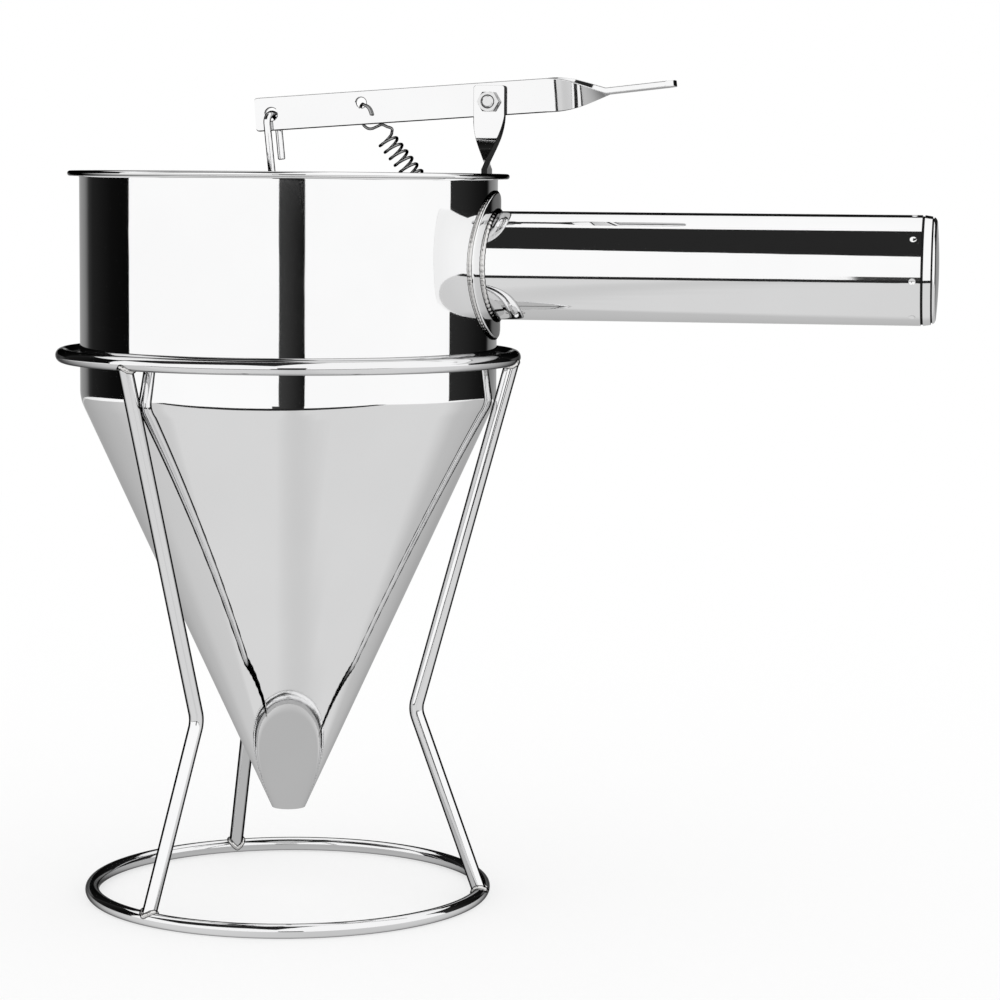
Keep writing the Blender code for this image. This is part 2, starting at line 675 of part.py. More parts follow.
def make_return_spring():
    """Wind the spring as one wire and hook it into the lever and the tab."""
    route = spring_route()
    gap = least_gap(route, SPRING_WIRE)
    print(f"return_spring: {SPRING_COILS} coils, least gap to itself {gap / mm:.2f} mm")
    spring = wire(
        "return_spring",
        [place - spring_hole for place in route],
        SPRING_WIRE,
        spring_anchor,
        resolution=1,
    )
    steel(spring, SPRING_STEEL)


def ring(name, radius, height, wire_radius, parent=None, collection=None):
    """Bend a round wire into a ring, with one of its facets flat on the floor side."""
    outline = [
        (
            radius + wire_radius * math.cos(wire_facet - 2 * wire_facet * side),
            wire_radius * math.sin(wire_facet - 2 * wire_facet * side),
        )
        for side in range(WIRE_SIDES)
    ]
    hoop = turned(name, outline, parent, closed=True, steps=FUNNEL_STEPS, collection=collection)
    hoop.location.z = height
    return hoop


def make_rings():
    """Make the stand's two rings."""
    top = ring("top_ring", top_ring_radius, TOP_RING_HEIGHT, STAND_WIRE / 2, assembly)
    base = ring("base_ring", BASE_RING_RADIUS, base_ring_height, STAND_WIRE / 2, assembly)
    steel(top, BRIGHT_WIRE)
    steel(base, BRIGHT_WIRE)


def make_legs():
    """Bend each leg at its waist and cope both ends to the rings."""
    waist_turn = leg_angle + foot_angle
    tangent = WAIST_BEND_RADIUS * math.tan(waist_turn / 2)
    bend_start = (
        WAIST_RADIUS + tangent * math.sin(leg_angle),
        WAIST_HEIGHT + tangent * math.cos(leg_angle),
    )
    bend_centre = (
        bend_start[0] + WAIST_BEND_RADIUS * math.cos(leg_angle),
        bend_start[1] - WAIST_BEND_RADIUS * math.sin(leg_angle),
    )
    side = [(WAIST_RADIUS + (leg_top_height - WAIST_HEIGHT) * leg_slope, leg_top_height)]
    side += arc(bend_centre, WAIST_BEND_RADIUS, HALF_TURN - leg_angle, HALF_TURN + foot_angle)
    side.append((BASE_RING_RADIUS, base_ring_height))
    cope_radius = STAND_WIRE / 2 + CLEARANCE
    copes = [
        ring("top_cope", top_ring_radius, TOP_RING_HEIGHT, cope_radius, assembly, cutters),
        ring("base_cope", BASE_RING_RADIUS, base_ring_height, cope_radius, assembly, cutters),
    ]
    for index, name in enumerate(LEG_NAMES):
        turn = 2 * math.pi * index / len(LEG_NAMES)
        route = [(out * math.cos(turn), out * math.sin(turn), up) for out, up in side]
        leg = wire(name, route, STAND_WIRE, assembly)
        for cope in copes:
            combine(leg, cope, "DIFFERENCE")
        steel(leg, BRIGHT_WIRE)


clear_scene()
pieces = new_collection("lever_funnel")
cutters = new_collection("cutters")
assembly = add_empty("assembly", (-length_middle, 0, 0))
lever_joint = add_empty("lever_joint", pivot, assembly)
lever_joint.rotation_euler = (0, -LEVER_SLOPE, 0)
rod_joint = add_empty("rod_joint", rod_hole, assembly)
spring_anchor = add_empty("spring_anchor", spring_hole, assembly)

make_funnel_body()
make_handle_flange()
make_handle_tube()
make_handle_end_cap()
make_bracket()
make_lever()
make_pivot()
make_lift_rod(make_stopper())
make_return_spring()
make_rings()
make_legs()
for piece in pieces.objects:
    if piece.type == "MESH" and len(piece.data.polygons):
        smooth(piece)
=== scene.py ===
import json
import math

import bmesh
import bpy
from mathutils import Matrix, Vector


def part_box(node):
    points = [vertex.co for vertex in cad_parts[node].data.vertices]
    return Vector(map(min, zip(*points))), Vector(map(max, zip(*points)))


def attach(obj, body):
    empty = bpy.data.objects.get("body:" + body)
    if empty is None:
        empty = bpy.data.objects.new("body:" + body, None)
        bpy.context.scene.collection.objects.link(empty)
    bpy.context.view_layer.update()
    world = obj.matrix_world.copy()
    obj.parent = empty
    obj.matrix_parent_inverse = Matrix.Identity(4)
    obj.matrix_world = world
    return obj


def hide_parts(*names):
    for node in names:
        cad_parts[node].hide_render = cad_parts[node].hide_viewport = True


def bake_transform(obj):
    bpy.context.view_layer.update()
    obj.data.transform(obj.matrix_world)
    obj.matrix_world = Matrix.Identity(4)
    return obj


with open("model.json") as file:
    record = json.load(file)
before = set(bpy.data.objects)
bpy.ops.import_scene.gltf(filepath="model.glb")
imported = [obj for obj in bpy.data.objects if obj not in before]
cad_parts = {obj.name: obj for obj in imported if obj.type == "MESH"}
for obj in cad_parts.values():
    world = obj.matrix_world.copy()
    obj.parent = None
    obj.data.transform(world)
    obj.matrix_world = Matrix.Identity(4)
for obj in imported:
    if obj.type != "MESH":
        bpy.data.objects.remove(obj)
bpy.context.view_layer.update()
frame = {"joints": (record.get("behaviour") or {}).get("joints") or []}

# The camera stands in front of the funnel, turned a little towards the handle, at the height
# of the rim. Its place is measured from the funnel's upright axis.
mm = 0.001
CAMERA_DISTANCE = 1058.5 * mm
CAMERA_HEIGHT = 244.5 * mm
CAMERA_TURN = math.radians(13.3)
CAMERA_AIM_ASIDE = math.radians(3.932)
CAMERA_AIM_DOWN = math.radians(5.775)
CAMERA_ROLL = math.radians(0.476)
LENS = 111.06
SENSOR = 36
QUARTER_TURN = math.pi / 2
HALF_TURN = math.pi
WHOLE_TURN = 2 * math.pi

funnel_low, funnel_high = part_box("funnel_body")
funnel_axis = Vector(((funnel_low.x + funnel_high.x) / 2, 0, 0))
camera_data = bpy.data.cameras.new("camera")
camera_data.lens = LENS
camera_data.sensor_width = SENSOR
camera = bpy.data.objects.new("camera", camera_data)
bpy.context.scene.collection.objects.link(camera)
camera_side = Vector((math.sin(CAMERA_TURN), -math.cos(CAMERA_TURN), 0))
camera_place = funnel_axis + camera_side * CAMERA_DISTANCE + Vector((0, 0, CAMERA_HEIGHT))
camera.matrix_world = (
    Matrix.Translation(camera_place)
    @ Matrix.Rotation(CAMERA_TURN - CAMERA_AIM_ASIDE, 4, "Z")
    @ Matrix.Rotation(QUARTER_TURN - CAMERA_AIM_DOWN, 4, "X")
    @ Matrix.Rotation(CAMERA_ROLL, 4, "Z")
)
bpy.context.scene.camera = camera
bpy.context.scene.view_settings.view_transform = "Standard"

# The studio is a white room with a pale table. Grey and black cards stand behind the funnel and
# at its sides, one hangs overhead and a narrow one is round the lens, because polished steel
# shows only what stands round it. The cards glow with set tones and show only in the steel: they
# are painted reflections, and one laid on the table paints shade there. Angles are in degrees
# from the camera's side, seen from above.
TABLE_GREY = 0.70
TABLE_SHADOW_SHARE = 0.45
TABLE_FRONT = 470 * mm
TABLE_BACK = 1300 * mm
TABLE_HALF_WIDTH = 1000 * mm
TRIM_WIDTH = 150 * mm
TRIM_GREY = 0.02
BEHIND = 180
TABLE_STEPS = 120
# Painted shade on the table, seen only in the steel: a darker disc under the funnel, tones that
# fall darker behind it and at its sides, and a soft darker stripe towards the camera.
SHADE_RADIUS = 63 * mm
SHADE_GREY = 0.46
SHADE_RISE = 0.2 * mm
TABLE_RADII = (67 * mm, 100 * mm, 150 * mm, 250 * mm, 400 * mm)
TABLE_SHADE_TONES = (
    (-180, 0.50), (-116, 0.53), (-100, 0.60), (-73, 0.61), (-70, 0.69), (94, 0.69), (110, 0.54),
    (180, 0.50),
)
SHADE_STRIPE_MIDDLE = 18 * mm
SHADE_STRIPE_HALF_WIDTH = 42 * mm
SHADE_STRIPE_SHARE = 0.12
CARD_DISTANCE = 1500 * mm
CARD_TOP = 1150 * mm
CARD_STEP = 1.5
LEFT_TONES = (
    (-180, 0.60), (-161, 0.43), (-157, 0.37), (-153.4, 0.345), (-150.7, 0.31), (-147.7, 0.27),
    (-145.5, 0.22), (-143.3, 0.16), (-141.3, 0.09), (-139.4, 0.042), (-135.7, 0.024),
    (-132.8, 0.016), (-122, 0.0095), (-111, 0.0045), (-99, 0.003), (-95, 0.003),
)
RIGHT_TONES = (
    (96, 0.024), (110, 0.017), (122, 0.010), (136, 0.005), (138.5, 0.02), (141, 0.15), (146, 0.25),
    (157, 0.40), (180, 0.60),
)
LEFT_CARD_END = -95
RIGHT_CARD_START = 96
BACK_ANGLE = 139
BACK_GREY_TOP = 278 * mm
BACK_TOP = 1300 * mm
BACK_BLACK = 0.008
LENS_ANGLES = (-5.4, 8.1)
LENS_TONES = ((-5.4, 0.045), (8.1, 0.007))
LENS_LEVELS = (-120 * mm, 260 * mm)
LOW_LENS_ANGLES = (-9, 8)
LOW_LENS_LEVELS = (-600 * mm, -120 * mm)
CEILING_HEIGHT = 1500 * mm
CEILING_GREY = 0.02
CEILING_OUTLINE = (
    (-2200 * mm, -1580 * mm), (-416 * mm, -1580 * mm), (60 * mm, -2230 * mm),
    (190 * mm, -2400 * mm), (190 * mm, 0), (-2200 * mm, 0),
)
camera_angle = math.atan2(camera_side.y, camera_side.x)


def set_down(name, mesh):
    """Put a mesh in the scene."""
    made = bpy.data.objects.new(name, mesh)
    bpy.context.scene.collection.objects.link(made)
    return made


def stage_piece(name, places, faces, material):
    """A piece of the studio, which is no part of the object."""
    mesh = bpy.data.meshes.new(name)
    mesh.from_pydata(places, [], faces)
    mesh.materials.append(material)
    staged = set_down(name, mesh)
    return staged


def bare_material(name):
    """A material with no nodes yet."""
    made = bpy.data.materials.new(name)
    made.use_nodes = True
    made.node_tree.nodes.clear()
    return made, made.node_tree.nodes, made.node_tree.links.new


# Painted reflections: each card glows with its own tones and shows only in the steel.
glowing_card_paper, nodes, link = bare_material("glowing_card_paper")
own_tone = nodes.new("ShaderNodeVertexColor")
own_tone.layer_name = "tone"
glow = nodes.new("ShaderNodeEmission")
output = nodes.new("ShaderNodeOutputMaterial")
link(own_tone.outputs["Color"], glow.inputs["Color"])
link(glow.outputs["Emission"], output.inputs["Surface"])


def card(name, places, faces, tones):
    """A card that glows with a tone at each corner and only shows in the steel."""
    made = stage_piece(name, places, faces, glowing_card_paper)
    layer = made.data.color_attributes.new("tone", "FLOAT_COLOR", "POINT")
    for index, grey in enumerate(tones):
        layer.data[index].color = (grey, grey, grey, 1)
    for ray in ("camera", "diffuse", "shadow", "transmission", "volume_scatter"):
        setattr(made, "visible_" + ray, False)


def tone_at(tones, angle):
    """The tone at an angle, between the two listed angles that it lies between."""
    for (first, grey_first), (second, grey_second) in zip(tones, tones[1:]):
        if angle <= second:
            share = (angle - first) / (second - first)
            return grey_first + (grey_second - grey_first) * max(share, 0)
    return tones[-1][1]


def column_faces(columns, rows, joined=False):
    """The faces between columns of points, with the last column joined to the first or not."""
    faces = []
    for column in range(columns if joined else columns - 1):
        low, after = column * rows, (column + 1) % columns * rows
        faces += [(low + r, after + r, after + r + 1, low + r + 1) for r in range(rows - 1)]
    return faces


def standing_card(name, angles, levels, tones):
    """A curved card on the circle of cards, from one angle to another."""
    first, last = angles
    steps = max(1, round((last - first) / CARD_STEP))
    places, greys = [], []
    for step in range(steps + 1):
        angle = first + (last - first) * step / steps
        turn = camera_angle + math.radians(angle)
        foot = funnel_axis + Vector((math.cos(turn), math.sin(turn), 0)) * CARD_DISTANCE
        places += [foot + Vector((0, 0, level)) for level in levels]
        greys += [tone_at(tones, angle)] * len(levels)
    card(name, places, column_faces(steps + 1, len(levels)), greys)


standing_card("card_left", (-BACK_ANGLE, LEFT_CARD_END), (0, CARD_TOP), LEFT_TONES)
standing_card("card_right", (RIGHT_CARD_START, BACK_ANGLE), (0, CARD_TOP), RIGHT_TONES)
dark_levels = (BACK_GREY_TOP, BACK_TOP)
dark_tones = ((-BEHIND, BACK_BLACK), (BEHIND, BACK_BLACK))
back_left, back_right = (-BEHIND, -BACK_ANGLE), (BACK_ANGLE, BEHIND)
standing_card("card_back_left", back_left, (0, BACK_GREY_TOP), LEFT_TONES)
standing_card("card_back_right", back_right, (0, BACK_GREY_TOP), RIGHT_TONES)
standing_card("card_dark_left", back_left, dark_levels, dark_tones)
standing_card("card_dark_right", back_right, dark_levels, dark_tones)
standing_card("card_round_lens", LENS_ANGLES, LENS_LEVELS, LENS_TONES)
standing_card("card_under_lens", LOW_LENS_ANGLES, LOW_LENS_LEVELS, LENS_TONES)
overhead = [(x, y, CEILING_HEIGHT) for x, y in CEILING_OUTLINE]
card("card_overhead", overhead, [tuple(range(len(overhead)))], [CEILING_GREY] * len(overhead))


def across_table(front, back):
    """The corners of a flat piece as wide as the table."""
    corners = [(-1, front), (1, front), (1, back), (-1, back)]
    return [(side * TABLE_HALF_WIDTH, along, 0) for side, along in corners]


trim = across_table(-TABLE_FRONT - TRIM_WIDTH, -TABLE_FRONT)
card("table_trim", trim, [(0, 1, 2, 3)], [TRIM_GREY] * len(trim))
# A glowing card just above the table, seen only in the steel, paints shade on the table: a darker
# disc under the funnel, a darker stripe towards the camera, and tones falling darker behind.
camera_right = Vector((math.cos(CAMERA_TURN), math.sin(CAMERA_TURN), 0))
places, greys = [], []
for step in range(TABLE_STEPS):
    angle = BEHIND * (2 * step / TABLE_STEPS - 1)
    turn = camera_angle + math.radians(angle)
    around = Vector((math.cos(turn), math.sin(turn), 0))
    reach = TABLE_BACK
    if around.y < 0:
        reach = min(reach, TABLE_FRONT / -around.y)
    if around.x:
        reach = min(reach, (TABLE_HALF_WIDTH - abs(funnel_axis.x)) / abs(around.x))
    radii = (0, SHADE_RADIUS) + TABLE_RADII + (reach,)
    for radius in radii:
        place = around * radius
        aside = abs(place.dot(camera_right) - SHADE_STRIPE_MIDDLE) / SHADE_STRIPE_HALF_WIDTH
        shade_stripe = SHADE_STRIPE_SHARE * max(0, 1 - aside ** 2) if place.dot(camera_side) > 0 else 0
        tone = SHADE_GREY if radius <= SHADE_RADIUS else tone_at(TABLE_SHADE_TONES, angle) * (1 - shade_stripe)
        places.append(funnel_axis + place + Vector((0, 0, SHADE_RISE)))
        greys.append(tone)
card("table_painted_shade", places, column_faces(TABLE_STEPS, len(radii), joined=True), greys)

table_top, nodes, link = bare_material("table_top")
paint = nodes.new("ShaderNodeBsdfDiffuse")
paint.inputs["Color"].default_value = (TABLE_GREY, TABLE_GREY, TABLE_GREY, 1)
white_paint = nodes.new("ShaderNodeBsdfDiffuse")
white_paint.inputs["Color"].default_value = (1, 1, 1, 1)
plain_white = nodes.new("ShaderNodeEmission")
seen_white = nodes.new("ShaderNodeMixShader")
seen_white.inputs["Fac"].default_value = TABLE_SHADOW_SHARE
link(plain_white.outputs["Emission"], seen_white.inputs[1])
link(white_paint.outputs["BSDF"], seen_white.inputs[2])
ray_kind = nodes.new("ShaderNodeLightPath")
by_ray = nodes.new("ShaderNodeMixShader")
link(ray_kind.outputs["Is Camera Ray"], by_ray.inputs["Fac"])
link(paint.outputs["BSDF"], by_ray.inputs[1])
link(seen_white.outputs["Shader"], by_ray.inputs[2])
output = nodes.new("ShaderNodeOutputMaterial")
link(by_ray.outputs["Shader"], output.inputs["Surface"])
stage_piece("table", across_table(-TABLE_FRONT, TABLE_BACK), [(0, 1, 2, 3)], table_top)

world = bpy.data.worlds.new("white_room")
world.use_nodes = True
white_room = world.node_tree.nodes["Background"]
white_room.inputs["Color"].default_value = (1, 1, 1, 1)
white_room.inputs["Strength"].default_value = 1
bpy.context.scene.world = world

# Funnel: one stainless sheet drawn to a straight bowl over a cone, with a rim turned out and
# hemmed over. It is polished on a lathe, so the finest marks run round it.
SHEET = 0.8 * mm
BOWL_RADIUS = 71 * mm
RIM_RADIUS = 75 * mm
RIM_THICKNESS = 1.8 * mm
RIM_HEM = 2.0 * mm
RIM_ROOT_RADIUS = 1.8 * mm
BOWL_HEIGHT = 77 * mm
OUTLET_RADIUS = 5.75 * mm
SHOULDER_RADIUS = 14 * mm
STRAIGHT_FROM = 0.3 * mm
FUNNEL_STEPS = 288
ARC_STEPS = 14
MERGE_DISTANCE = 0.001 * mm
SHARP_CORNER = math.radians(40)
STAIN_SCALE, STAIN_DETAIL = 22, 3
SMUDGE_SCALE, SMUDGE_DETAIL = 35, 5
WAVE_SCALE, WAVE_DETAIL = 70, 1
GRAIN_DETAIL = 4
NOISE_REACH = (0.3, 0.7)
STAIN_REACH = (0.35, 0.65)
STAIN_SHARE = 0.975
# Painted shade: the colour that an outline darkens a steel to where it is seen edge on.
OUTLINE_SHADE_COLOUR = (0.02, 0.02, 0.02, 1)
rim_top = funnel_high.z
tip = funnel_low.z
shoulder = rim_top - BOWL_HEIGHT
cone_angle = math.atan2(BOWL_RADIUS - OUTLET_RADIUS, shoulder - tip)
cone_sheet_across = SHEET / math.cos(cone_angle)


def arc(centre, radius, start, end, steps=ARC_STEPS):
    """Points on a part of a circle, from one turn to another."""
    angles = [start + (end - start) * step / steps for step in range(steps + 1)]
    return [(centre[0] + radius * math.cos(a), centre[1] + radius * math.sin(a)) for a in angles]


def turns_round(steps):
    """Even turns once round."""
    return [WHOLE_TURN * step / steps for step in range(steps)]


def skin(name, rings, closed=False, capped=False):
    """Join rings of points into one closed surface, and shade its round parts smooth."""
    shape = bmesh.new()
    rows = [[shape.verts.new(place) for place in ring] for ring in rings]
    pairs = list(zip(rows, rows[1:]))
    if closed:
        pairs.append((rows[-1], rows[0]))
    for first, second in pairs:
        for index in range(len(first)):
            after = (index + 1) % len(first)
            shape.faces.new((first[index], first[after], second[after], second[index]))
    if capped:
        shape.faces.new(list(reversed(rows[0])))
        shape.faces.new(rows[-1])
    bmesh.ops.remove_doubles(shape, verts=shape.verts, dist=MERGE_DISTANCE)
    bmesh.ops.recalc_face_normals(shape, faces=shape.faces)
    mesh = bpy.data.meshes.new(name)
    shape.to_mesh(mesh)
    shape.free()
    piece = set_down(name, mesh)
    shade(piece)
    return piece


def shade(piece, sharp_corner=SHARP_CORNER):
    """Shade a piece smooth, apart from corners sharper than this."""
    for polygon in piece.data.polygons:
        polygon.use_smooth = True
    piece.data.set_sharp_from_angle(angle=sharp_corner)


def ring_at(out, up, steps):
    """A ring of points round the upright axis."""
    return [Vector((out * math.cos(t), out * math.sin(t), up)) for t in turns_round(steps)]


def turned(name, outline, steps, place=Matrix.Identity(4), closed=False):
    """Turn an outline of radius and height round an axis that place puts in the frame."""
    rings = [[place @ point for point in ring_at(out, up, steps)] for out, up in outline]
    return skin(name, rings, closed)


def polished_steel(
    name, colour, roughness, smudge, grain, grain_depth=0.0005 * mm, wave_depth=0.03 * mm,
    edge=0.4, outline=None,
):
    """Stainless steel whose finest marks are drawn out along the grain's low scales.

    The edge share is how much of the light it still reflects where it is seen almost edge on.
    The outline is the pair of Layer Weight facings between which its colour is painted dark:
    painted shade where it is seen edge on.
    """
    steel = bpy.data.materials.new(name)
    steel.use_nodes = True
    nodes = steel.node_tree.nodes
    link = steel.node_tree.links.new
    shader = nodes["Principled BSDF"]
    shader.inputs["Metallic"].default_value = 1
    shader.inputs["Specular Tint"].default_value = (edge, edge, edge, 1)
    place = nodes.new("ShaderNodeTexCoord")

    def noise(scale, detail, stretch=(1, 1, 1)):
        mapping = nodes.new("ShaderNodeMapping")
        mapping.inputs["Scale"].default_value = stretch
        link(place.outputs["Object"], mapping.inputs["Vector"])
        texture = nodes.new("ShaderNodeTexNoise")
        texture.inputs["Scale"].default_value = scale
        texture.inputs["Detail"].default_value = detail
        link(mapping.outputs["Vector"], texture.inputs["Vector"])
        return texture.outputs["Fac"]

    def ranged(source, reach, low=0, high=1):
        spread = nodes.new("ShaderNodeMapRange")
        for side, value in zip(("From Min", "From Max", "To Min", "To Max"), (*reach, low, high)):
            spread.inputs[side].default_value = value
        link(source, spread.inputs["Value"])
        return spread.outputs["Result"]

    def bump(height, depth):
        relief = nodes.new("ShaderNodeBump")
        relief.inputs["Strength"].default_value = 1
        relief.inputs["Distance"].default_value = depth
        link(height, relief.inputs["Height"])
        return relief

    stain = nodes.new("ShaderNodeValToRGB")
    dark_end, light_end = stain.color_ramp.elements
    dark_end.position, light_end.position = STAIN_REACH
    dark_end.color = (*[c * STAIN_SHARE for c in colour], 1)
    light_end.color = (*colour, 1)
    link(noise(STAIN_SCALE, STAIN_DETAIL), stain.inputs["Fac"])
    tone = stain.outputs["Color"]
    # Painted shade: the colour darkens towards the outline, as the surface turns from facing the
    # eye.
    if outline:
        facing = nodes.new("ShaderNodeLayerWeight")
        darkened = nodes.new("ShaderNodeMixRGB")
        darkened.inputs["Color2"].default_value = OUTLINE_SHADE_COLOUR
        link(ranged(facing.outputs["Facing"], outline), darkened.inputs["Fac"])
        link(tone, darkened.inputs["Color1"])
        tone = darkened.outputs["Color"]
    link(tone, shader.inputs["Base Color"])
    smudges = noise(SMUDGE_SCALE, SMUDGE_DETAIL)
    link(ranged(smudges, NOISE_REACH, roughness, roughness + smudge), shader.inputs["Roughness"])
    waves = bump(noise(WAVE_SCALE, WAVE_DETAIL), wave_depth)
    marks = bump(noise(1, GRAIN_DETAIL, grain), grain_depth)
    link(waves.outputs["Normal"], marks.inputs["Normal"])
    link(marks.outputs["Normal"], shader.inputs["Normal"])
    return steel


SHEET_COLOUR = (0.97, 0.97, 0.972)
lathe_polish = polished_steel(
    "lathe_polished_sheet", SHEET_COLOUR, roughness=0.02, smudge=0.03, grain=(40, 40, 5000),
    grain_depth=0.0004 * mm, edge=0.75,
)
# The rim's own copy of the sheet steel reflects less edge on and has its outline painted dark:
# painted shade along the rim.
rim_polish = polished_steel(
    "lathe_polished_rim", SHEET_COLOUR, roughness=0.02, smudge=0.03, grain=(40, 40, 5000),
    grain_depth=0.0004 * mm, edge=0.1, outline=(0.45, 0.7),
)
hem_centre = (RIM_RADIUS - RIM_THICKNESS / 2, rim_top - RIM_THICKNESS / 2)
root_centre = (BOWL_RADIUS + RIM_ROOT_RADIUS, rim_top - SHEET - RIM_ROOT_RADIUS)
shoulder_centre = (
    BOWL_RADIUS - SHOULDER_RADIUS,
    shoulder + SHOULDER_RADIUS * math.tan(cone_angle / 2),
)
hem_edge = RIM_RADIUS - RIM_HEM
wall_top = root_centre[1] - STRAIGHT_FROM
wall_foot = shoulder_centre[1] + STRAIGHT_FROM


def cone_top(radius):
    """Where the cone's straight side starts, just below the rounded shoulder."""
    across = shoulder_centre[0] + radius * math.cos(cone_angle)
    up = shoulder_centre[1] - radius * math.sin(cone_angle)
    down_cone = (-math.sin(cone_angle), -math.cos(cone_angle))
    return across + STRAIGHT_FROM * down_cone[0], up + STRAIGHT_FROM * down_cone[1]


outline = arc(hem_centre, RIM_THICKNESS / 2, QUARTER_TURN, -QUARTER_TURN)
outline += [(hem_edge, rim_top - RIM_THICKNESS), (hem_edge, rim_top - SHEET)]
outline += arc(root_centre, RIM_ROOT_RADIUS, QUARTER_TURN, HALF_TURN)
outline += [(BOWL_RADIUS, wall_top), (BOWL_RADIUS, wall_foot)]
outline += arc(shoulder_centre, SHOULDER_RADIUS, 0, -cone_angle)
outline += [cone_top(SHOULDER_RADIUS), (OUTLET_RADIUS, tip)]
outline += [(OUTLET_RADIUS - cone_sheet_across, tip), cone_top(SHOULDER_RADIUS - SHEET)]
outline += arc(shoulder_centre, SHOULDER_RADIUS - SHEET, -cone_angle, 0)
outline += [(BOWL_RADIUS - SHEET, wall_foot), (BOWL_RADIUS - SHEET, wall_top)]
outline += arc(root_centre, RIM_ROOT_RADIUS + SHEET, HALF_TURN, QUARTER_TURN)
funnel_place = Matrix.Translation(funnel_axis)
bowl = turned("funnel_sheet", outline, FUNNEL_STEPS, funnel_place, closed=True)
bowl.data.materials.append(lathe_polish)
bowl.data.materials.append(rim_polish)
for polygon in bowl.data.polygons:
    from_axis = polygon.center - funnel_axis
    if math.hypot(from_axis.x, from_axis.y) > BOWL_RADIUS + RIM_ROOT_RADIUS:
        polygon.material_index = 1
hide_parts("funnel_body")
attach(bowl, "funnel")

# Handle flange: a thin disc pressed to the bowl's curve, between the bowl and the handle. It is
# welded to the bowl all round and spreads the handle's load over the thin sheet.
FLANGE_RADIUS = 24.6 * mm
FLANGE_SHEET = 0.9 * mm
FLANGE_EDGE = 0.4 * mm
FLANGE_STEPS = 160
FLANGE_RINGS = 24
FLANGE_EDGE_STEPS = 6
FIT = 0.3 * mm
flange_low, flange_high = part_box("handle_flange")
handle_height = (flange_low.z + flange_high.z) / 2
flange_inside = BOWL_RADIUS + FIT
flange_outside = flange_inside + FLANGE_SHEET


def on_drum(drum_radius, disc_radius, turn):
    """A point of a disc that is bent round the bowl's upright drum."""
    across = disc_radius * math.cos(turn)
    up = disc_radius * math.sin(turn)
    along = math.sqrt(drum_radius ** 2 - across ** 2)
    return funnel_axis + Vector((along, across, handle_height + up))


flat_radius = FLANGE_RADIUS - FLANGE_EDGE
shares = [step / FLANGE_RINGS for step in range(FLANGE_RINGS + 1)]
sections = [(flange_inside, FLANGE_RADIUS * share) for share in shares]
sections += [
    (flange_outside - FLANGE_EDGE + out, flat_radius + aside)
    for aside, out in arc((0, 0), FLANGE_EDGE, 0, QUARTER_TURN, FLANGE_EDGE_STEPS)
]
sections += [(flange_outside, flat_radius * share) for share in reversed(shares[:-1])]
turns = turns_round(FLANGE_STEPS)
rings = [[on_drum(drum, disc, turn) for turn in turns] for drum, disc in sections]
flange = skin("flange_disc", rings)
hand_polish = polished_steel(
    "hand_polished_sheet", SHEET_COLOUR, roughness=0.03, smudge=0.05, grain=(900, 900, 900),
    wave_depth=0.04 * mm,
)
flange.data.materials.append(hand_polish)
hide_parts("handle_flange")
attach(flange, "funnel")

# Handle: a round tube of thin stainless sheet, polished along its length. Its root is coped to the
# flange and welded there, and a ring of small punch marks near its end holds the cap.
HANDLE_RADIUS = 18.25 * mm
HANDLE_WALL = 1.0 * mm
HANDLE_STEPS = 192
HANDLE_RINGS = 40
CAP_LENGTH = 5.6 * mm
PUNCH_RADIUS = 2.0 * mm
PUNCH_DEPTH = 0.35 * mm
PUNCH_FROM_SEAM = 2.6 * mm
PUNCH_COUNT = 8
PUNCH_STEPS = 32
PUNCH_FIRST_TURN = math.radians(10)
PUNCH_LIP = math.radians(20)
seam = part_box("handle_end_cap")[1].x - CAP_LENGTH
handle_root = flange_outside + FIT


def handle_ring(radius, share):
    """A ring of the tube, from the coped root at share 0 to the square end at share 1."""
    ring = []
    for turn in turns_round(HANDLE_STEPS):
        across = radius * math.cos(turn)
        root = funnel_axis.x + math.sqrt(handle_root ** 2 - across ** 2)
        along = root + (seam - root) * share
        ring.append(Vector((along, across, handle_height + radius * math.sin(turn))))
    return ring


shares = [step / HANDLE_RINGS for step in range(HANDLE_RINGS + 1)]
rings = [handle_ring(HANDLE_RADIUS, share) for share in shares]
rings += [handle_ring(HANDLE_RADIUS - HANDLE_WALL, share) for share in reversed(shares)]
tube = skin("handle_grip", rings, closed=True)
tube_polish = polished_steel(
    "polished_tube", SHEET_COLOUR, roughness=0.025, smudge=0.035, grain=(30, 2500, 2500),
    grain_depth=0.0004 * mm, edge=0.92,
)
tube.data.materials.append(tube_polish)


def cut(piece, tool, operation="DIFFERENCE"):
    """Cut a piece with a tool, which is then gone."""
    change = piece.modifiers.new("cut", "BOOLEAN")
    change.operation = operation
    change.solver = "EXACT"
    change.object = tool
    bpy.context.view_layer.update()
    graph = bpy.context.evaluated_depsgraph_get()
    result = bpy.data.meshes.new_from_object(piece.evaluated_get(graph))
    piece.modifiers.clear()
    piece.data = result
    bpy.data.objects.remove(tool, do_unlink=True)


ball = arc((0, 0), PUNCH_RADIUS, QUARTER_TURN, -QUARTER_TURN, PUNCH_STEPS // 2)
out = HANDLE_RADIUS + PUNCH_RADIUS - PUNCH_DEPTH
for step_round in turns_round(PUNCH_COUNT):
    turn = PUNCH_FIRST_TURN + step_round
    middle = (seam - PUNCH_FROM_SEAM, out * math.cos(turn), handle_height + out * math.sin(turn))
    cut(tube, turned("punch", ball, PUNCH_STEPS, Matrix.Translation(middle)))
shade(tube, PUNCH_LIP)
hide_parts("handle_tube")
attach(tube, "funnel")

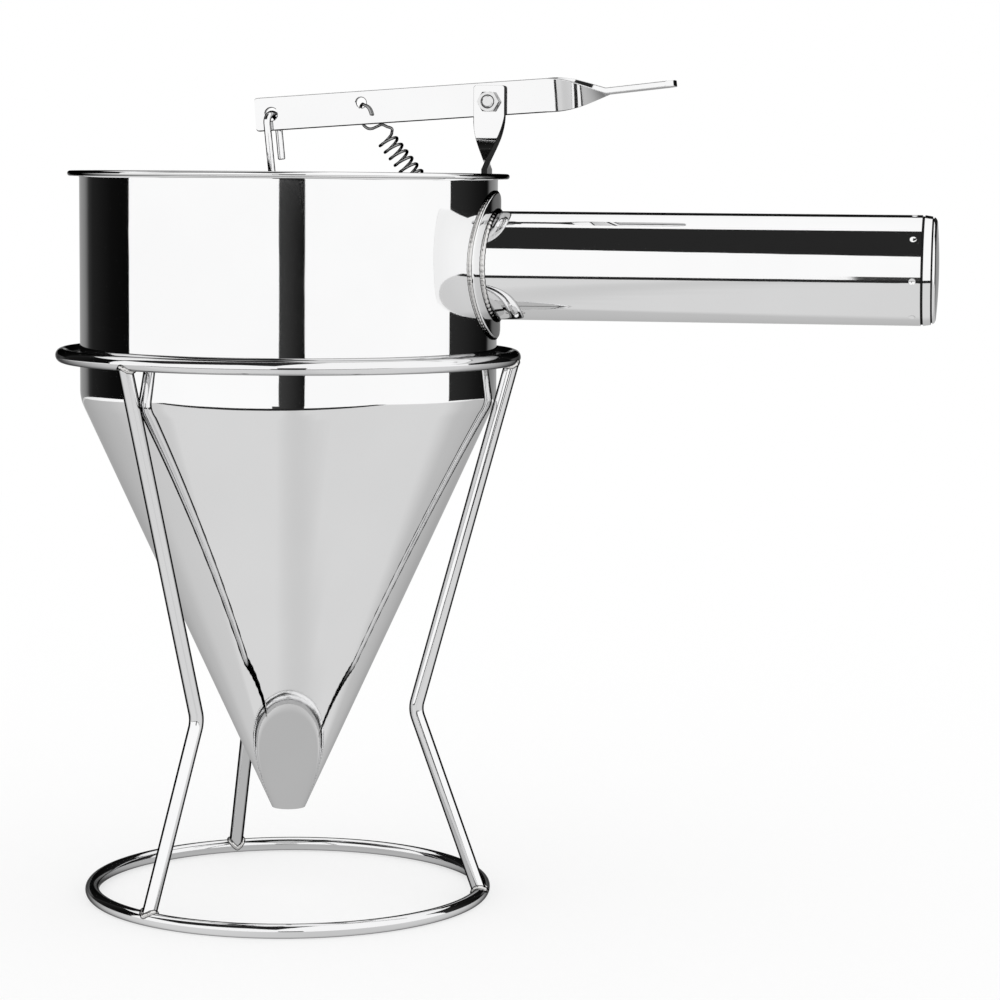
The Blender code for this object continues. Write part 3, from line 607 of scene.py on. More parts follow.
# Welds at the handle: a bead of melted steel all round the tube's root, and a finer one round
# the flange's edge. Both are left from the torch and only brushed.
ROOT_BEAD = 0.9 * mm
EDGE_BEAD = 0.55 * mm
BEAD_SIDES = 12
BEAD_STEPS = 480
RIPPLE_SHARE = 0.12
ROOT_RIPPLES = 60
EDGE_RIPPLES = 90
# The beads' outline is painted dark: painted shade round the welds.
weld_steel = polished_steel(
    "brushed_weld", (0.80, 0.79, 0.78), roughness=0.12, smudge=0.12, grain=(1500, 1500, 1500),
    grain_depth=0.002 * mm, edge=0, outline=(0.25, 0.45),
)


def bead(name, centre_line, out_line, radius, ripples, body="funnel"):
    """A closed weld bead that swells and thins as the torch was moved along."""
    count = len(centre_line)
    turns = turns_round(BEAD_SIDES)
    rings = []
    for index, (middle, out) in enumerate(zip(centre_line, out_line)):
        along = (centre_line[(index + 1) % count] - centre_line[index - 1]).normalized()
        out = (out - along * out.dot(along)).normalized()
        side = along.cross(out)
        swell = radius * (1 + RIPPLE_SHARE * abs(math.sin(HALF_TURN * ripples * index / count)))
        rings.append([middle + (out * math.cos(t) + side * math.sin(t)) * swell for t in turns])
    piece = skin(name, rings, closed=True)
    piece.data.materials.append(weld_steel)
    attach(piece, body)


turns = turns_round(BEAD_STEPS)
outward = [Vector((1, 0, 0))] * BEAD_STEPS
root_line = [on_drum(flange_outside, HANDLE_RADIUS, turn) for turn in turns]
bead("handle_root_weld", root_line, outward, ROOT_BEAD, ROOT_RIPPLES)
edge_line = [on_drum(flange_inside, FLANGE_RADIUS, turn) for turn in turns]
bead("flange_edge_weld", edge_line, outward, EDGE_BEAD, EDGE_RIPPLES)

# Handle cap: a shallow pressed cup, a little tapered, with a fine pressed line before its rounded
# edge and a slightly domed end. Its spigot is pushed into the tube. The seam between them and the
# line are both painted near black: painted shade in the narrow grooves.
CAP_EDGE_RADIUS = 2.0 * mm
CAP_DOME = 0.7 * mm
CAP_SEAM = 0.85 * mm
CAP_TAPER = 0.38 * mm
CAP_NECK = 0.4 * mm
CAP_NECK_CLEAR = 0.05 * mm
CAP_LINE_TURN = math.radians(29)
CAP_LINE_DEPTH = 0.4 * mm
CAP_LINE_WIDTH = 0.6 * mm
CAP_SPIGOT = 7 * mm
CAP_WALL = 1.0 * mm
LINE_SLACK_SHARE = 0.01
spigot = HANDLE_RADIUS - HANDLE_WALL - FIT
edge_top = CAP_LENGTH - CAP_DOME
edge_centre = (HANDLE_RADIUS - CAP_TAPER - CAP_EDGE_RADIUS, edge_top - CAP_EDGE_RADIUS)
dome_radius = (edge_centre[0] ** 2 + CAP_DOME ** 2) / (2 * CAP_DOME)
dome_angle = math.asin(edge_centre[0] / dome_radius)
outline = arc((0, CAP_LENGTH - dome_radius), dome_radius, QUARTER_TURN, QUARTER_TURN - dome_angle)
outline += arc(edge_centre, CAP_EDGE_RADIUS, QUARTER_TURN, CAP_LINE_TURN)[1:]
line_radius, line_top = outline[-1]
line_floor = line_radius - CAP_LINE_DEPTH
line_low = line_top - CAP_LINE_WIDTH
outline += [(line_floor, line_top), (line_floor, line_low)]
outline.append((edge_centre[0] + CAP_EDGE_RADIUS, line_low))
neck = HANDLE_RADIUS - CAP_NECK
outline += [(HANDLE_RADIUS, CAP_SEAM), (neck, CAP_SEAM), (neck, CAP_NECK_CLEAR)]
outline += [(spigot, CAP_NECK_CLEAR), (spigot, -CAP_SPIGOT)]
outline += [(spigot - CAP_WALL, -CAP_SPIGOT), (spigot - CAP_WALL, edge_top - CAP_WALL)]
outline.append((0, edge_top - CAP_WALL))
cap_place = Matrix.Translation((seam, 0, handle_height)) @ Matrix.Rotation(QUARTER_TURN, 4, "Y")
cap = turned("handle_cap", outline, HANDLE_STEPS, cap_place)
cap.data.materials.append(tube_polish)
# Painted shade: a near-black finish laid in the seam and the pressed line, for the shade in those
# narrow grooves.
groove_shade = polished_steel(
    "painted_groove_shade", (0.03, 0.03, 0.03), roughness=0.5, smudge=0.2, grain=(900, 900, 900),
    grain_depth=0.002 * mm, wave_depth=0.02 * mm,
)
cap.data.materials.append(groove_shade)
# The faces in the pressed line and the seam take the painted shade.
above_low, below_top = line_low * (1 - LINE_SLACK_SHARE), line_top * (1 + LINE_SLACK_SHARE)
for polygon in cap.data.polygons:
    middle = cap_place.inverted() @ polygon.center
    out = math.hypot(middle.x, middle.y)
    in_line = above_low < middle.z < below_top and spigot - FIT < out < line_radius
    in_seam = middle.z < CAP_SEAM * (1 + LINE_SLACK_SHARE) and out > spigot - CAP_WALL / 2
    if in_line or in_seam:
        polygon.material_index = 1
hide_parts("handle_end_cap")
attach(cap, "funnel")

# Lever bracket: one flat strip with its cut edges eased. It stands up flat on the inside of
# the bowl, is twisted a quarter turn above the rim, and its lower end is bent to a tab.
BRACKET_WIDTH = 10.8 * mm
STRIP_THICKNESS = 2.0 * mm
STRIP_EDGE = 0.35 * mm
STRIP_EDGE_STEPS = 4
TWIST_STEPS = 48
CORNER_STEPS = 8
HOLE_STEPS = 64
FACE_WEIGHT = 100
PLUS_EDGE_CORNER = 3
MINUS_EDGE_CORNER = 1
PLATE_CORNER = 1.0 * mm
TAB_CORNER = 2.5 * mm
TAB_BEND_RADIUS = 2.4 * mm
TAB_HOLE_FROM_STRIP = 4.4 * mm
BRACKET_LEAN = 0.84 * mm
BRACKET_TWIST_LENGTH = 17.7 * mm
BRACKET_TWIST_BELOW_PIVOT = 4.8 * mm
BOLT_HOLE_RADIUS = 2.3 * mm
TAB_HOLE_RADIUS = 1.3 * mm
HOLE_EASE = 0.25 * mm
CUT_OVERRUN = 2 * mm
TWIST_EASE_SHARE = 0.1
ALONG = Vector((1, 0, 0))
ACROSS = Vector((0, 1, 0))
UP = Vector((0, 0, 1))


def eased(share):
    """A twist that starts and ends gently, as a strip turned between two vices does."""
    return share - TWIST_EASE_SHARE * math.sin(WHOLE_TURN * share) / WHOLE_TURN


def strip_ring(middle, width_way, thickness_way, width):
    """The strip's section with eased edges, round a point of its middle line."""
    half_width = width / 2 - STRIP_EDGE
    half_thickness = STRIP_THICKNESS / 2 - STRIP_EDGE
    ring = []
    for quarter, (across, through) in enumerate([(1, 1), (-1, 1), (-1, -1), (1, -1)]):
        centre = (across * half_width, through * half_thickness)
        start = quarter * QUARTER_TURN
        for wide, thick in arc(centre, STRIP_EDGE, start, start + QUARTER_TURN, STRIP_EDGE_STEPS):
            ring.append(middle + width_way * wide + thickness_way * thick)
    return ring


def twist_rings(start, end, way, width_way, width):
    """Rings of a strip that is twisted a quarter turn between two points."""
    rings = []
    for step in range(TWIST_STEPS + 1):
        share = step / TWIST_STEPS
        turn = QUARTER_TURN * eased(share)
        aside = width_way * math.cos(turn) - ACROSS * math.sin(turn)
        rings.append(strip_ring(start.lerp(end, share), aside, way.cross(aside), width))
    return rings


def end_rings(middle, inward, width_way, thickness_way, full_width, corner):
    """Rings from the cut end of a strip, whose two corners are rounded, to its full width."""
    rings = []
    for step in range(CORNER_STEPS + 1):
        turn = QUARTER_TURN * step / CORNER_STEPS
        width = full_width - 2 * corner * (1 - math.sin(turn))
        depth = corner * (1 - math.cos(turn))
        rings.append(strip_ring(middle + inward * depth, width_way, thickness_way, width))
    return rings


def shaded_sheared_side(piece, first_corner):
    """Give one cut edge of a strip, corner to corner, rough steel painted near black as shade."""
    piece.data.materials.append(strip_steel)
    piece.data.materials.append(sheared_edge_shade)
    corner_points = STRIP_EDGE_STEPS + 1
    points = 4 * corner_points
    first = first_corner * corner_points
    shaded_faces = [(first + step) % points for step in range(2 * corner_points - 1)]
    for polygon in piece.data.polygons[:-2]:
        if polygon.index % points in shaded_faces:
            polygon.material_index = 1


def drill(piece, radius, middle, facing):
    """Drill a hole with eased edges through a strip."""
    half = STRIP_THICKNESS / 2
    beyond = half + CUT_OVERRUN
    mouth = radius + HOLE_EASE
    outline = [(0, beyond), (mouth + CUT_OVERRUN, beyond), (mouth, half)]
    outline.append((radius, half - HOLE_EASE))
    outline += [(out, -up) for out, up in reversed(outline)]
    turn = UP.rotation_difference(facing).to_matrix().to_4x4()
    cut(piece, turned("drill", outline, HOLE_STEPS, Matrix.Translation(middle) @ turn))


def flat_faces(piece):
    """Shade the strip's wide faces flat up to their eased edges."""
    shade(piece)
    weighted = piece.modifiers.new("faces", "WEIGHTED_NORMAL")
    weighted.keep_sharp = True
    weighted.weight = FACE_WEIGHT


strip_steel = polished_steel(
    "polished_strip", (0.95, 0.95, 0.953), roughness=0.05, smudge=0.06, grain=(60, 1800, 1800),
    grain_depth=0.0006 * mm,
)
# The sheared edge is rough as the shear left it; its near-black colour is painted shade along that
# edge.
sheared_edge_shade = polished_steel(
    "sheared_edge_painted_shade", (0.03, 0.03, 0.03), roughness=0.3, smudge=0.15, grain=(2500, 2500, 300),
    grain_depth=0.004 * mm, wave_depth=0.02 * mm,
)
bracket_low, bracket_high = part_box("lever_bracket")
joints = {joint["name"]: joint for joint in frame["joints"]}
pivot = Vector(joints["lever_press"]["pos_m"])
bracket_side = -(STRIP_THICKNESS + FIT)
tab_height = bracket_low.z + STRIP_THICKNESS / 2
foot = pivot.x - BRACKET_LEAN
tab_hole = Vector((foot - STRIP_THICKNESS / 2 - TAB_HOLE_FROM_STRIP, bracket_side, tab_height))
bracket_top = Vector((pivot.x, bracket_side, bracket_high.z))
twist_top = pivot.z - BRACKET_TWIST_BELOW_PIVOT
rings = end_rings(bracket_top, -UP, ALONG, ACROSS, BRACKET_WIDTH, PLATE_CORNER)
twist_start = Vector((pivot.x, bracket_side, twist_top))
twist_end = Vector((foot, bracket_side, twist_top - BRACKET_TWIST_LENGTH))
rings += twist_rings(twist_start, twist_end, UP, ALONG, BRACKET_WIDTH)
bend_centre = Vector((foot - TAB_BEND_RADIUS, bracket_side, tab_height + TAB_BEND_RADIUS))
for out, up in arc((0, 0), TAB_BEND_RADIUS, 0, -QUARTER_TURN):
    outward = Vector((out, 0, up))
    rings.append(strip_ring(bend_centre + outward, -ACROSS, outward.normalized(), BRACKET_WIDTH))
tab_end = Vector((bracket_low.x, bracket_side, tab_height))
rings += reversed(end_rings(tab_end, ALONG, -ACROSS, -UP, BRACKET_WIDTH, TAB_CORNER))
bracket = skin("bracket_strip", rings, capped=True)
shaded_sheared_side(bracket, PLUS_EDGE_CORNER)
drill(bracket, BOLT_HOLE_RADIUS, Vector((pivot.x, bracket_side, pivot.z)), ACROSS)
drill(bracket, TAB_HOLE_RADIUS, tab_hole, UP)
flat_faces(bracket)
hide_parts("lever_bracket")
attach(bracket, "funnel")

# Lever: a second length of the same strip, on edge where it carries the rod and the spring, and
# twisted a quarter turn to a flat thumb pad with rounded corners.
LEVER_WIDTH = 11.4 * mm
LEVER_SLOPE = math.radians(4.0)
LEVER_HOLE_OFFSET = 1.0 * mm
ROD_ARM = 75.6 * mm
LEVER_TAIL = 5.6 * mm
ROD_HOLE_RADIUS = 2.2 * mm
SPRING_ARM = 44.3 * mm
SPRING_HOLE_RISE = 2.7 * mm
SPRING_HOLE_RADIUS = 1.8 * mm
LEVER_TWIST_START = 18.6 * mm
LEVER_TWIST_LENGTH = 21.2 * mm
PAD_LENGTH = 23 * mm
PAD_SLOPE = math.radians(2.5)
PAD_CORNER = 3.5 * mm
lever_way = ALONG * math.cos(LEVER_SLOPE) + UP * math.sin(LEVER_SLOPE)
lever_up = UP * math.cos(LEVER_SLOPE) - ALONG * math.sin(LEVER_SLOPE)
pad_way = lever_way * math.cos(PAD_SLOPE) + lever_up * math.sin(PAD_SLOPE)
pad_up = lever_up * math.cos(PAD_SLOPE) - lever_way * math.sin(PAD_SLOPE)
lever_middle = pivot + lever_up * LEVER_HOLE_OFFSET
tail_end = lever_middle - lever_way * (ROD_ARM + LEVER_TAIL)
rings = end_rings(tail_end, lever_way, lever_up, -ACROSS, LEVER_WIDTH, PLATE_CORNER)
twist_start = lever_middle + lever_way * LEVER_TWIST_START
pad_start = twist_start + lever_way * LEVER_TWIST_LENGTH
rings += twist_rings(twist_start, pad_start, lever_way, lever_up, LEVER_WIDTH)
pad_end = pad_start + pad_way * PAD_LENGTH
rings += reversed(end_rings(pad_end, -pad_way, -ACROSS, -pad_up, LEVER_WIDTH, PAD_CORNER))
lever = skin("lever_strip", rings, capped=True)
shaded_sheared_side(lever, MINUS_EDGE_CORNER)
rod_hole = Vector(joints["rod_swing"]["pos_m"])
spring_hole = pivot - lever_way * SPRING_ARM + lever_up * SPRING_HOLE_RISE
drill(lever, BOLT_HOLE_RADIUS, pivot, ACROSS)
drill(lever, ROD_HOLE_RADIUS, rod_hole, ACROSS)
drill(lever, SPRING_HOLE_RADIUS, spring_hole, ACROSS)
flat_faces(lever)
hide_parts("lever")
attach(lever, "lever")

# Pivot bolt: a small machine screw with a rounded head and a cross recess, put through the lever
# and the bracket from the far side. A little of its thread stands out of the nut.
BOLT_RADIUS = 2.0 * mm
THREAD_PITCH = 0.7 * mm
THREAD_DEPTH = 0.36 * mm
THREAD_STEPS = 64
THREAD_ROWS_PER_PITCH = 12
HEAD_RADIUS = 4.0 * mm
HEAD_HEIGHT = 2.6 * mm
HEAD_EDGE = 1.2 * mm
END_STAND = 1.0 * mm
END_CHAMFER = 0.5 * mm
NUT_THICKNESS = 3.2 * mm
DRIVE_WIDTH = 1.1 * mm
DRIVE_LENGTH = 4.4 * mm
DRIVE_DEPTH = 1.3 * mm
near_way = Matrix.Translation(pivot) @ Matrix.Rotation(QUARTER_TURN, 4, "X")
nut_start = -bracket_side + STRIP_THICKNESS / 2 + FIT
bolt_end = nut_start + NUT_THICKNESS + END_STAND
head_start = -(STRIP_THICKNESS / 2 + FIT)
head_top = head_start - HEAD_HEIGHT
row_count = round((bolt_end - nut_start) / THREAD_PITCH * THREAD_ROWS_PER_PITCH)
head_outline = [(0, head_top)]
head_outline += arc((HEAD_RADIUS - HEAD_EDGE, head_top + HEAD_EDGE), HEAD_EDGE, -QUARTER_TURN, 0)
head_outline += [(HEAD_RADIUS, head_start), (BOLT_RADIUS, head_start)]
head_outline.append((BOLT_RADIUS, nut_start - THREAD_PITCH))
rings = [ring_at(out, height, THREAD_STEPS) for out, height in head_outline]
for row in range(row_count + 1):
    height = nut_start + (bolt_end - nut_start) * row / row_count
    ring = []
    for turn in turns_round(THREAD_STEPS):
        phase = (height / THREAD_PITCH - turn / WHOLE_TURN) % 1
        groove = THREAD_DEPTH * abs(2 * phase - 1)
        chamfer = max(0, height - (bolt_end - END_CHAMFER))
        radius = min(BOLT_RADIUS - groove, BOLT_RADIUS - chamfer)
        ring.append((radius * math.cos(turn), radius * math.sin(turn), height))
    rings.append(ring)
rings.append([(0, 0, bolt_end)] * THREAD_STEPS)
bolt = skin("pivot_screw", rings)
bolt.data.transform(near_way)


def block(name, size, place):
    """A plain block that cuts a recess."""
    shape = bmesh.new()
    bmesh.ops.create_cube(shape, size=1)
    bmesh.ops.scale(shape, vec=size, verts=shape.verts)
    mesh = bpy.data.meshes.new(name)
    shape.to_mesh(mesh)
    shape.free()
    mesh.transform(place)
    return set_down(name, mesh)


head_face = Matrix.Translation((0, 0, head_top))
for turn in (0, QUARTER_TURN):
    drive_place = near_way @ head_face @ Matrix.Rotation(turn, 4, "Z")
    cut(bolt, block("drive", (DRIVE_LENGTH, DRIVE_WIDTH, 2 * DRIVE_DEPTH), drive_place))
shade(bolt)
turned_steel = polished_steel(
    "turned_steel", (0.80, 0.80, 0.80), roughness=0.14, smudge=0.10, grain=(1200, 1200, 1200),
    grain_depth=0.001 * mm, wave_depth=0.01 * mm,
)
bolt.data.materials.append(turned_steel)
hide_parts("pivot_bolt")
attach(bolt, "funnel")

# Pivot nut: a hexagon nut with the corners of both its faces rounded off and its thread hole
# countersunk, turned so that one of its corners points along the lever.
NUT_FLAT = 3.2 * mm
NUT_CHAMFER = 0.2 * mm
NUT_SIDES = 6
NUT_ROUNDING = math.radians(30)
NUT_STEPS = 96
NUT_EASE = 0.12 * mm
corner = NUT_FLAT / math.cos(HALF_TURN / NUT_SIDES)
nut_top = nut_start + NUT_THICKNESS
prism = [ring_at(corner, height, NUT_SIDES) for height in (nut_start, nut_top)]
nut = skin("pivot_hex_nut", prism, capped=True)
rounded = corner + CUT_OVERRUN
fall = (rounded - NUT_FLAT) * math.tan(NUT_ROUNDING)
rounding = [(0, nut_top), (NUT_FLAT, nut_top), (rounded, nut_top - fall)]
rounding += [(rounded, nut_start + fall), (NUT_FLAT, nut_start), (0, nut_start)]
cut(nut, turned("rounding", rounding, NUT_STEPS), "INTERSECT")
bore = BOLT_RADIUS + FIT / 2
mouth = bore + NUT_CHAMFER + CUT_OVERRUN
hole = [(0, nut_top + CUT_OVERRUN), (mouth, nut_top + CUT_OVERRUN), (bore, nut_top - NUT_CHAMFER)]
hole += [(bore, nut_start + NUT_CHAMFER), (mouth, nut_start - CUT_OVERRUN)]
hole.append((0, nut_start - CUT_OVERRUN))
cut(nut, turned("thread_hole", hole, HOLE_STEPS))
nut.data.transform(near_way)
shade(nut)
ease = nut.modifiers.new("ease", "BEVEL")
ease.width = NUT_EASE
ease.segments = 2
ease.limit_method = "ANGLE"
nut.data.materials.append(turned_steel)
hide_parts("pivot_nut")
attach(nut, "funnel")

# Lift rod: a bright drawn wire, bent over at the top into a hook that hangs in the lever's hole
# and cut off square. Its lower end is fixed in the stopper.
ROD_RADIUS = 1.25 * mm
HOOK_REACH_ALONG = 1.3 * mm
HOOK_REACH_ACROSS = 2.7 * mm
HOOK_TAIL = 12.5 * mm
ROD_BEND_BELOW_HOLE = 80 * mm
HOOK_STEPS = 40
WIRE_SIDES = 28
WIRE_END_EASE = 0.3 * mm
BELOW_HOOK_SHARE = 0.05
ABOVE_BEND_SHARE = 0.15
BELOW_BEND_SHARE = 0.08
BEND_ROUNDS = 3
CORNER_CUT_SHARE = 0.25


def tube_along(name, places, radius, sides):
    """A round wire along a list of points, with its cut ends eased."""
    before, after = places[:1] + places[:-1], places[1:] + places[-1:]
    ways = [(later - sooner).normalized() for sooner, later in zip(before, after)]
    side = ways[0].orthogonal().normalized()
    turns = turns_round(sides)
    rings = []
    for index, (middle, way) in enumerate(zip(places, ways)):
        side = (side - way * side.dot(way)).normalized()
        other = way.cross(side)
        around = [side * math.cos(t) + other * math.sin(t) for t in turns]
        if index == 0:
            rings.append([middle + a * (radius - WIRE_END_EASE) for a in around])
            middle = middle + way * WIRE_END_EASE
        if index == len(places) - 1:
            rings.append([middle - way * WIRE_END_EASE + a * radius for a in around])
            radius -= WIRE_END_EASE
        rings.append([middle + a * radius for a in around])
    return skin(name, rings, capped=True)


def rounded_route(places, rounds):
    """Round off a route by repeated corner cutting, keeping its two ends."""
    for _ in range(rounds):
        smooth = [places[0]]
        for first, second in zip(places, places[1:]):
            smooth.append(first.lerp(second, CORNER_CUT_SHARE))
            smooth.append(first.lerp(second, 1 - CORNER_CUT_SHARE))
        places = smooth + [places[-1]]
    return places


hook_radius = math.hypot(HOOK_REACH_ALONG, HOOK_REACH_ACROSS)
lean = math.atan2(
    HOOK_REACH_ALONG - rod_hole.x + funnel_axis.x, ROD_BEND_BELOW_HOLE - hook_radius
)
hang = ALONG * math.sin(lean) - UP * math.cos(lean)
reach = (ALONG * math.cos(lean) + UP * math.sin(lean)) * HOOK_REACH_ALONG
reach = reach + ACROSS * HOOK_REACH_ACROSS
hook = [
    rod_hole + reach * out + hang * hook_radius * (1 - up)
    for out, up in arc((0, 0), 1, 0, HALF_TURN, HOOK_STEPS)
]
tail = [hook[0] + hang * HOOK_TAIL, hook[0] + hang * HOOK_TAIL / 2]
stem_bottom = Vector((funnel_axis.x, 0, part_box("lift_rod")[0].z))
stem_bend = Vector((funnel_axis.x, 0, rod_hole.z - ROD_BEND_BELOW_HOLE))
below_hook = hook[-1].lerp(stem_bend, BELOW_HOOK_SHARE)
above_bend = stem_bend.lerp(hook[-1], ABOVE_BEND_SHARE)
below_bend = stem_bend.lerp(stem_bottom, BELOW_BEND_SHARE)
bend = rounded_route([above_bend, stem_bend, below_bend], BEND_ROUNDS)
route = tail + hook + [below_hook] + bend + [stem_bottom]
rod = tube_along("lift_wire", route, ROD_RADIUS, WIRE_SIDES)
# The wire's outline is painted dark: painted shade along the edges of the rod and the legs.
wire_steel = polished_steel(
    "bright_wire", (0.96, 0.96, 0.965), roughness=0.04, smudge=0.05, grain=(2200, 2200, 60),
    wave_depth=0.02 * mm, edge=0, outline=(0.30, 0.46),
)
rod.data.materials.append(wire_steel)
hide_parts("lift_rod")
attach(rod, "rod")

# Stopper: a small turned plug with the cone's own taper, which the spring holds over the outlet.
# The rod is set in its neck. It is hidden unless one looks in from above or below.
STOPPER_NOSE = 0.6 * mm
STOPPER_SEAT_HEIGHT = 8 * mm
STOPPER_CROWN_RADIUS = 5 * mm
STOPPER_NECK_RADIUS = 3.2 * mm
STOPPER_NECK_HEIGHT = 4 * mm
STOPPER_BORE_DEPTH = 9 * mm
STOPPER_STEPS = 96


def cone_inside(height):
    """How far from the axis the inside of the cone is at a height."""
    return OUTLET_RADIUS - cone_sheet_across + (height - tip) * math.tan(cone_angle)


gap_across = FIT / math.cos(cone_angle)
seat_top = tip + STOPPER_SEAT_HEIGHT
seat_radius = cone_inside(seat_top) - gap_across
neck_top = seat_top + STOPPER_CROWN_RADIUS + STOPPER_NECK_HEIGHT
bore = ROD_RADIUS + FIT
outline = [(0, neck_top - STOPPER_BORE_DEPTH), (bore, neck_top - STOPPER_BORE_DEPTH)]
outline += [(bore, neck_top), (STOPPER_NECK_RADIUS, neck_top)]
for step in range(ARC_STEPS + 1):
    turn = QUARTER_TURN * step / ARC_STEPS
    width = STOPPER_NECK_RADIUS + (seat_radius - STOPPER_NECK_RADIUS) * math.sin(turn)
    outline.append((width, seat_top + STOPPER_CROWN_RADIUS * math.cos(turn)))
outline.append((cone_inside(tip + STOPPER_NOSE) - gap_across, tip + STOPPER_NOSE))
outline.append((cone_inside(tip) - gap_across - STOPPER_NOSE, tip))
outline.append((0, tip))
stopper = turned("stopper_plug", outline, STOPPER_STEPS, funnel_place)
stopper.data.materials.append(turned_steel)
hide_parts("stopper")
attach(stopper, "rod")

# Return spring: hard spring wire wound into an open coil, with a hook at each end. The upper
# hook goes through the lever and the lower one through the bracket's tab.
SPRING_WIRE_RADIUS = 0.5 * mm
COIL_RADIUS = 3.1 * mm
SPRING_COILS = 13
SPRING_SIDE_STEP = 0.8 * mm
UPPER_SHANK = 14.4 * mm
LOWER_SHANK = 3.6 * mm
LOWER_RUN_IN = 2.4 * mm
LOWER_HOOK_SWEEP = math.radians(235)
COIL_POINTS = 28
COIL_SIDES = 14
HOOK_POINTS = 24
ROUTE_STEPS = 6
UPPER_HOOK_SHARES = (
    (1.70, -0.13, -1.00), (0.86, -0.37, -1.00), (0.16, -0.15, -0.86), (-0.03, 0.03, 0.00),
    (-0.06, 0.40, 0.86), (0.42, 1.02, 1.00), (1.50, 1.39, 1.00), (2.22, 1.29, 1.00),
    (2.58, 0.93, 1.00), (2.74, 0.42, 1.00), (2.95, -0.23, 0.95), (3.50, -0.56, 0.90),
    (4.02, -0.84, 0.80),
)


def smooth_route(places, steps):
    """Put more points between the places of a route, on a curve that passes through them all."""
    before = [places[0] * 2 - places[1]] + places[:-1]
    after = places[1:] + [places[-1] * 2 - places[-2]]
    slopes = [(b - a) / 2 for a, b in zip(before, after)]
    route = []
    for index in range(len(places) - 1):
        start, end = places[index], places[index + 1]
        for step in range(steps):
            t = step / steps
            bend_start = slopes[index] * (t * (1 - t) ** 2)
            bend_end = slopes[index + 1] * (t ** 2 * (1 - t))
            ease = t * t * (3 - 2 * t)
            route.append(start * (1 - ease) + end * ease + bend_start - bend_end)
    return route + [places[-1]]


upper_seat = SPRING_HOLE_RADIUS - SPRING_WIRE_RADIUS - 2 * FIT
lower_seat = TAB_HOLE_RADIUS - SPRING_WIRE_RADIUS - 2 * FIT
beside = STRIP_THICKNESS / 2 + SPRING_WIRE_RADIUS + 2 * FIT
lower_centre = tab_hole - ALONG * (lower_seat + COIL_RADIUS)
pull = (lower_centre - spring_hole).normalized()
coil_axis = spring_hole + Vector((pull.z, 0, -pull.x)) * SPRING_SIDE_STEP
down = (lower_centre - coil_axis).normalized()
across = (ACROSS - down * down.y).normalized()
over = across.cross(down)
upper = []
for along, side, depth in UPPER_HOOK_SHARES:
    place = spring_hole + down * (upper_seat + along * COIL_RADIUS)
    upper.append(place + over * side * COIL_RADIUS + across * depth * beside)
lower = [
    lower_centre + COIL_RADIUS * (over * out + down * along)
    for out, along in arc((0, 0), 1, 0, LOWER_HOOK_SWEEP, HOOK_POINTS)
]
lower_end = lower[-1] + (lower[-1] - lower[-2]).normalized() * 2 * SPRING_WIRE_RADIUS
coil_end = (lower_centre - coil_axis).length - LOWER_SHANK
first_turn = -QUARTER_TURN / 2
turning = WHOLE_TURN * SPRING_COILS + QUARTER_TURN - first_turn
pitch = (coil_end - UPPER_SHANK - LOWER_RUN_IN / 2) * WHOLE_TURN / turning
run_in = HALF_TURN * LOWER_RUN_IN / pitch
count = round(turning / WHOLE_TURN * COIL_POINTS)
coil = []
for step in range(count + 1):
    turned_by = turning * step / count
    left = turning - turned_by
    if left < run_in:
        distance = coil_end - LOWER_RUN_IN * math.sqrt(left / run_in)
    else:
        distance = UPPER_SHANK + turned_by * pitch / WHOLE_TURN
    around = across * math.cos(first_turn + turned_by) + over * math.sin(first_turn + turned_by)
    coil.append(coil_axis + down * distance + around * COIL_RADIUS)
route = smooth_route(upper + [coil[0]], ROUTE_STEPS) + coil[1:] + lower + [lower_end]
spring = tube_along("spring_wire", route, SPRING_WIRE_RADIUS, COIL_SIDES)
# The spring steel's colour is set dark and its outline is painted darker still: painted shade on
# the coil's thin strands.
spring_steel = polished_steel(
    "spring_wire_steel", (0.36, 0.36, 0.36), roughness=0.08, smudge=0.08, grain=(900, 900, 900),
    wave_depth=0.01 * mm, edge=0.1, outline=(0.1, 0.4),
)
spring.data.materials.append(spring_steel)
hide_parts("return_spring")
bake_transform(spring)

# Stand rings: two hoops of the same bright steel wire, each bent from one length and butt welded.
# The upper one stands round the bowl and steadies it, and the lower one rests on the table.
STAND_WIRE_RADIUS = 2.5 * mm
BASE_RING_RADIUS = 67.8 * mm
RING_STEPS = 288
top_low, top_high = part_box("top_ring")
base_low, base_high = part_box("base_ring")
top_ring_height = (top_low.z + top_high.z) / 2
ring_wire = (top_high.z - top_low.z) / 2
top_ring_radius = (top_high.x - top_low.x) / 2 - ring_wire
base_ring_height = (base_low.z + base_high.z) / 2
ring_steel = polished_steel(
    "bright_ring_wire", (0.92, 0.92, 0.925), roughness=0.04, smudge=0.05, grain=(500, 500, 500),
    wave_depth=0.02 * mm, edge=0.1,
)
for name, node, radius, height in (
    ("upper_hoop", "top_ring", top_ring_radius, top_ring_height),
    ("lower_hoop", "base_ring", BASE_RING_RADIUS, base_ring_height),
):
    section = arc((radius, height), ring_wire, 0, -WHOLE_TURN, WIRE_SIDES)[:-1]
    hoop = turned(name, section, RING_STEPS, funnel_place, closed=True)
    hoop.data.materials.append(ring_steel)
    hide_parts(node)
    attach(hoop, "stand")

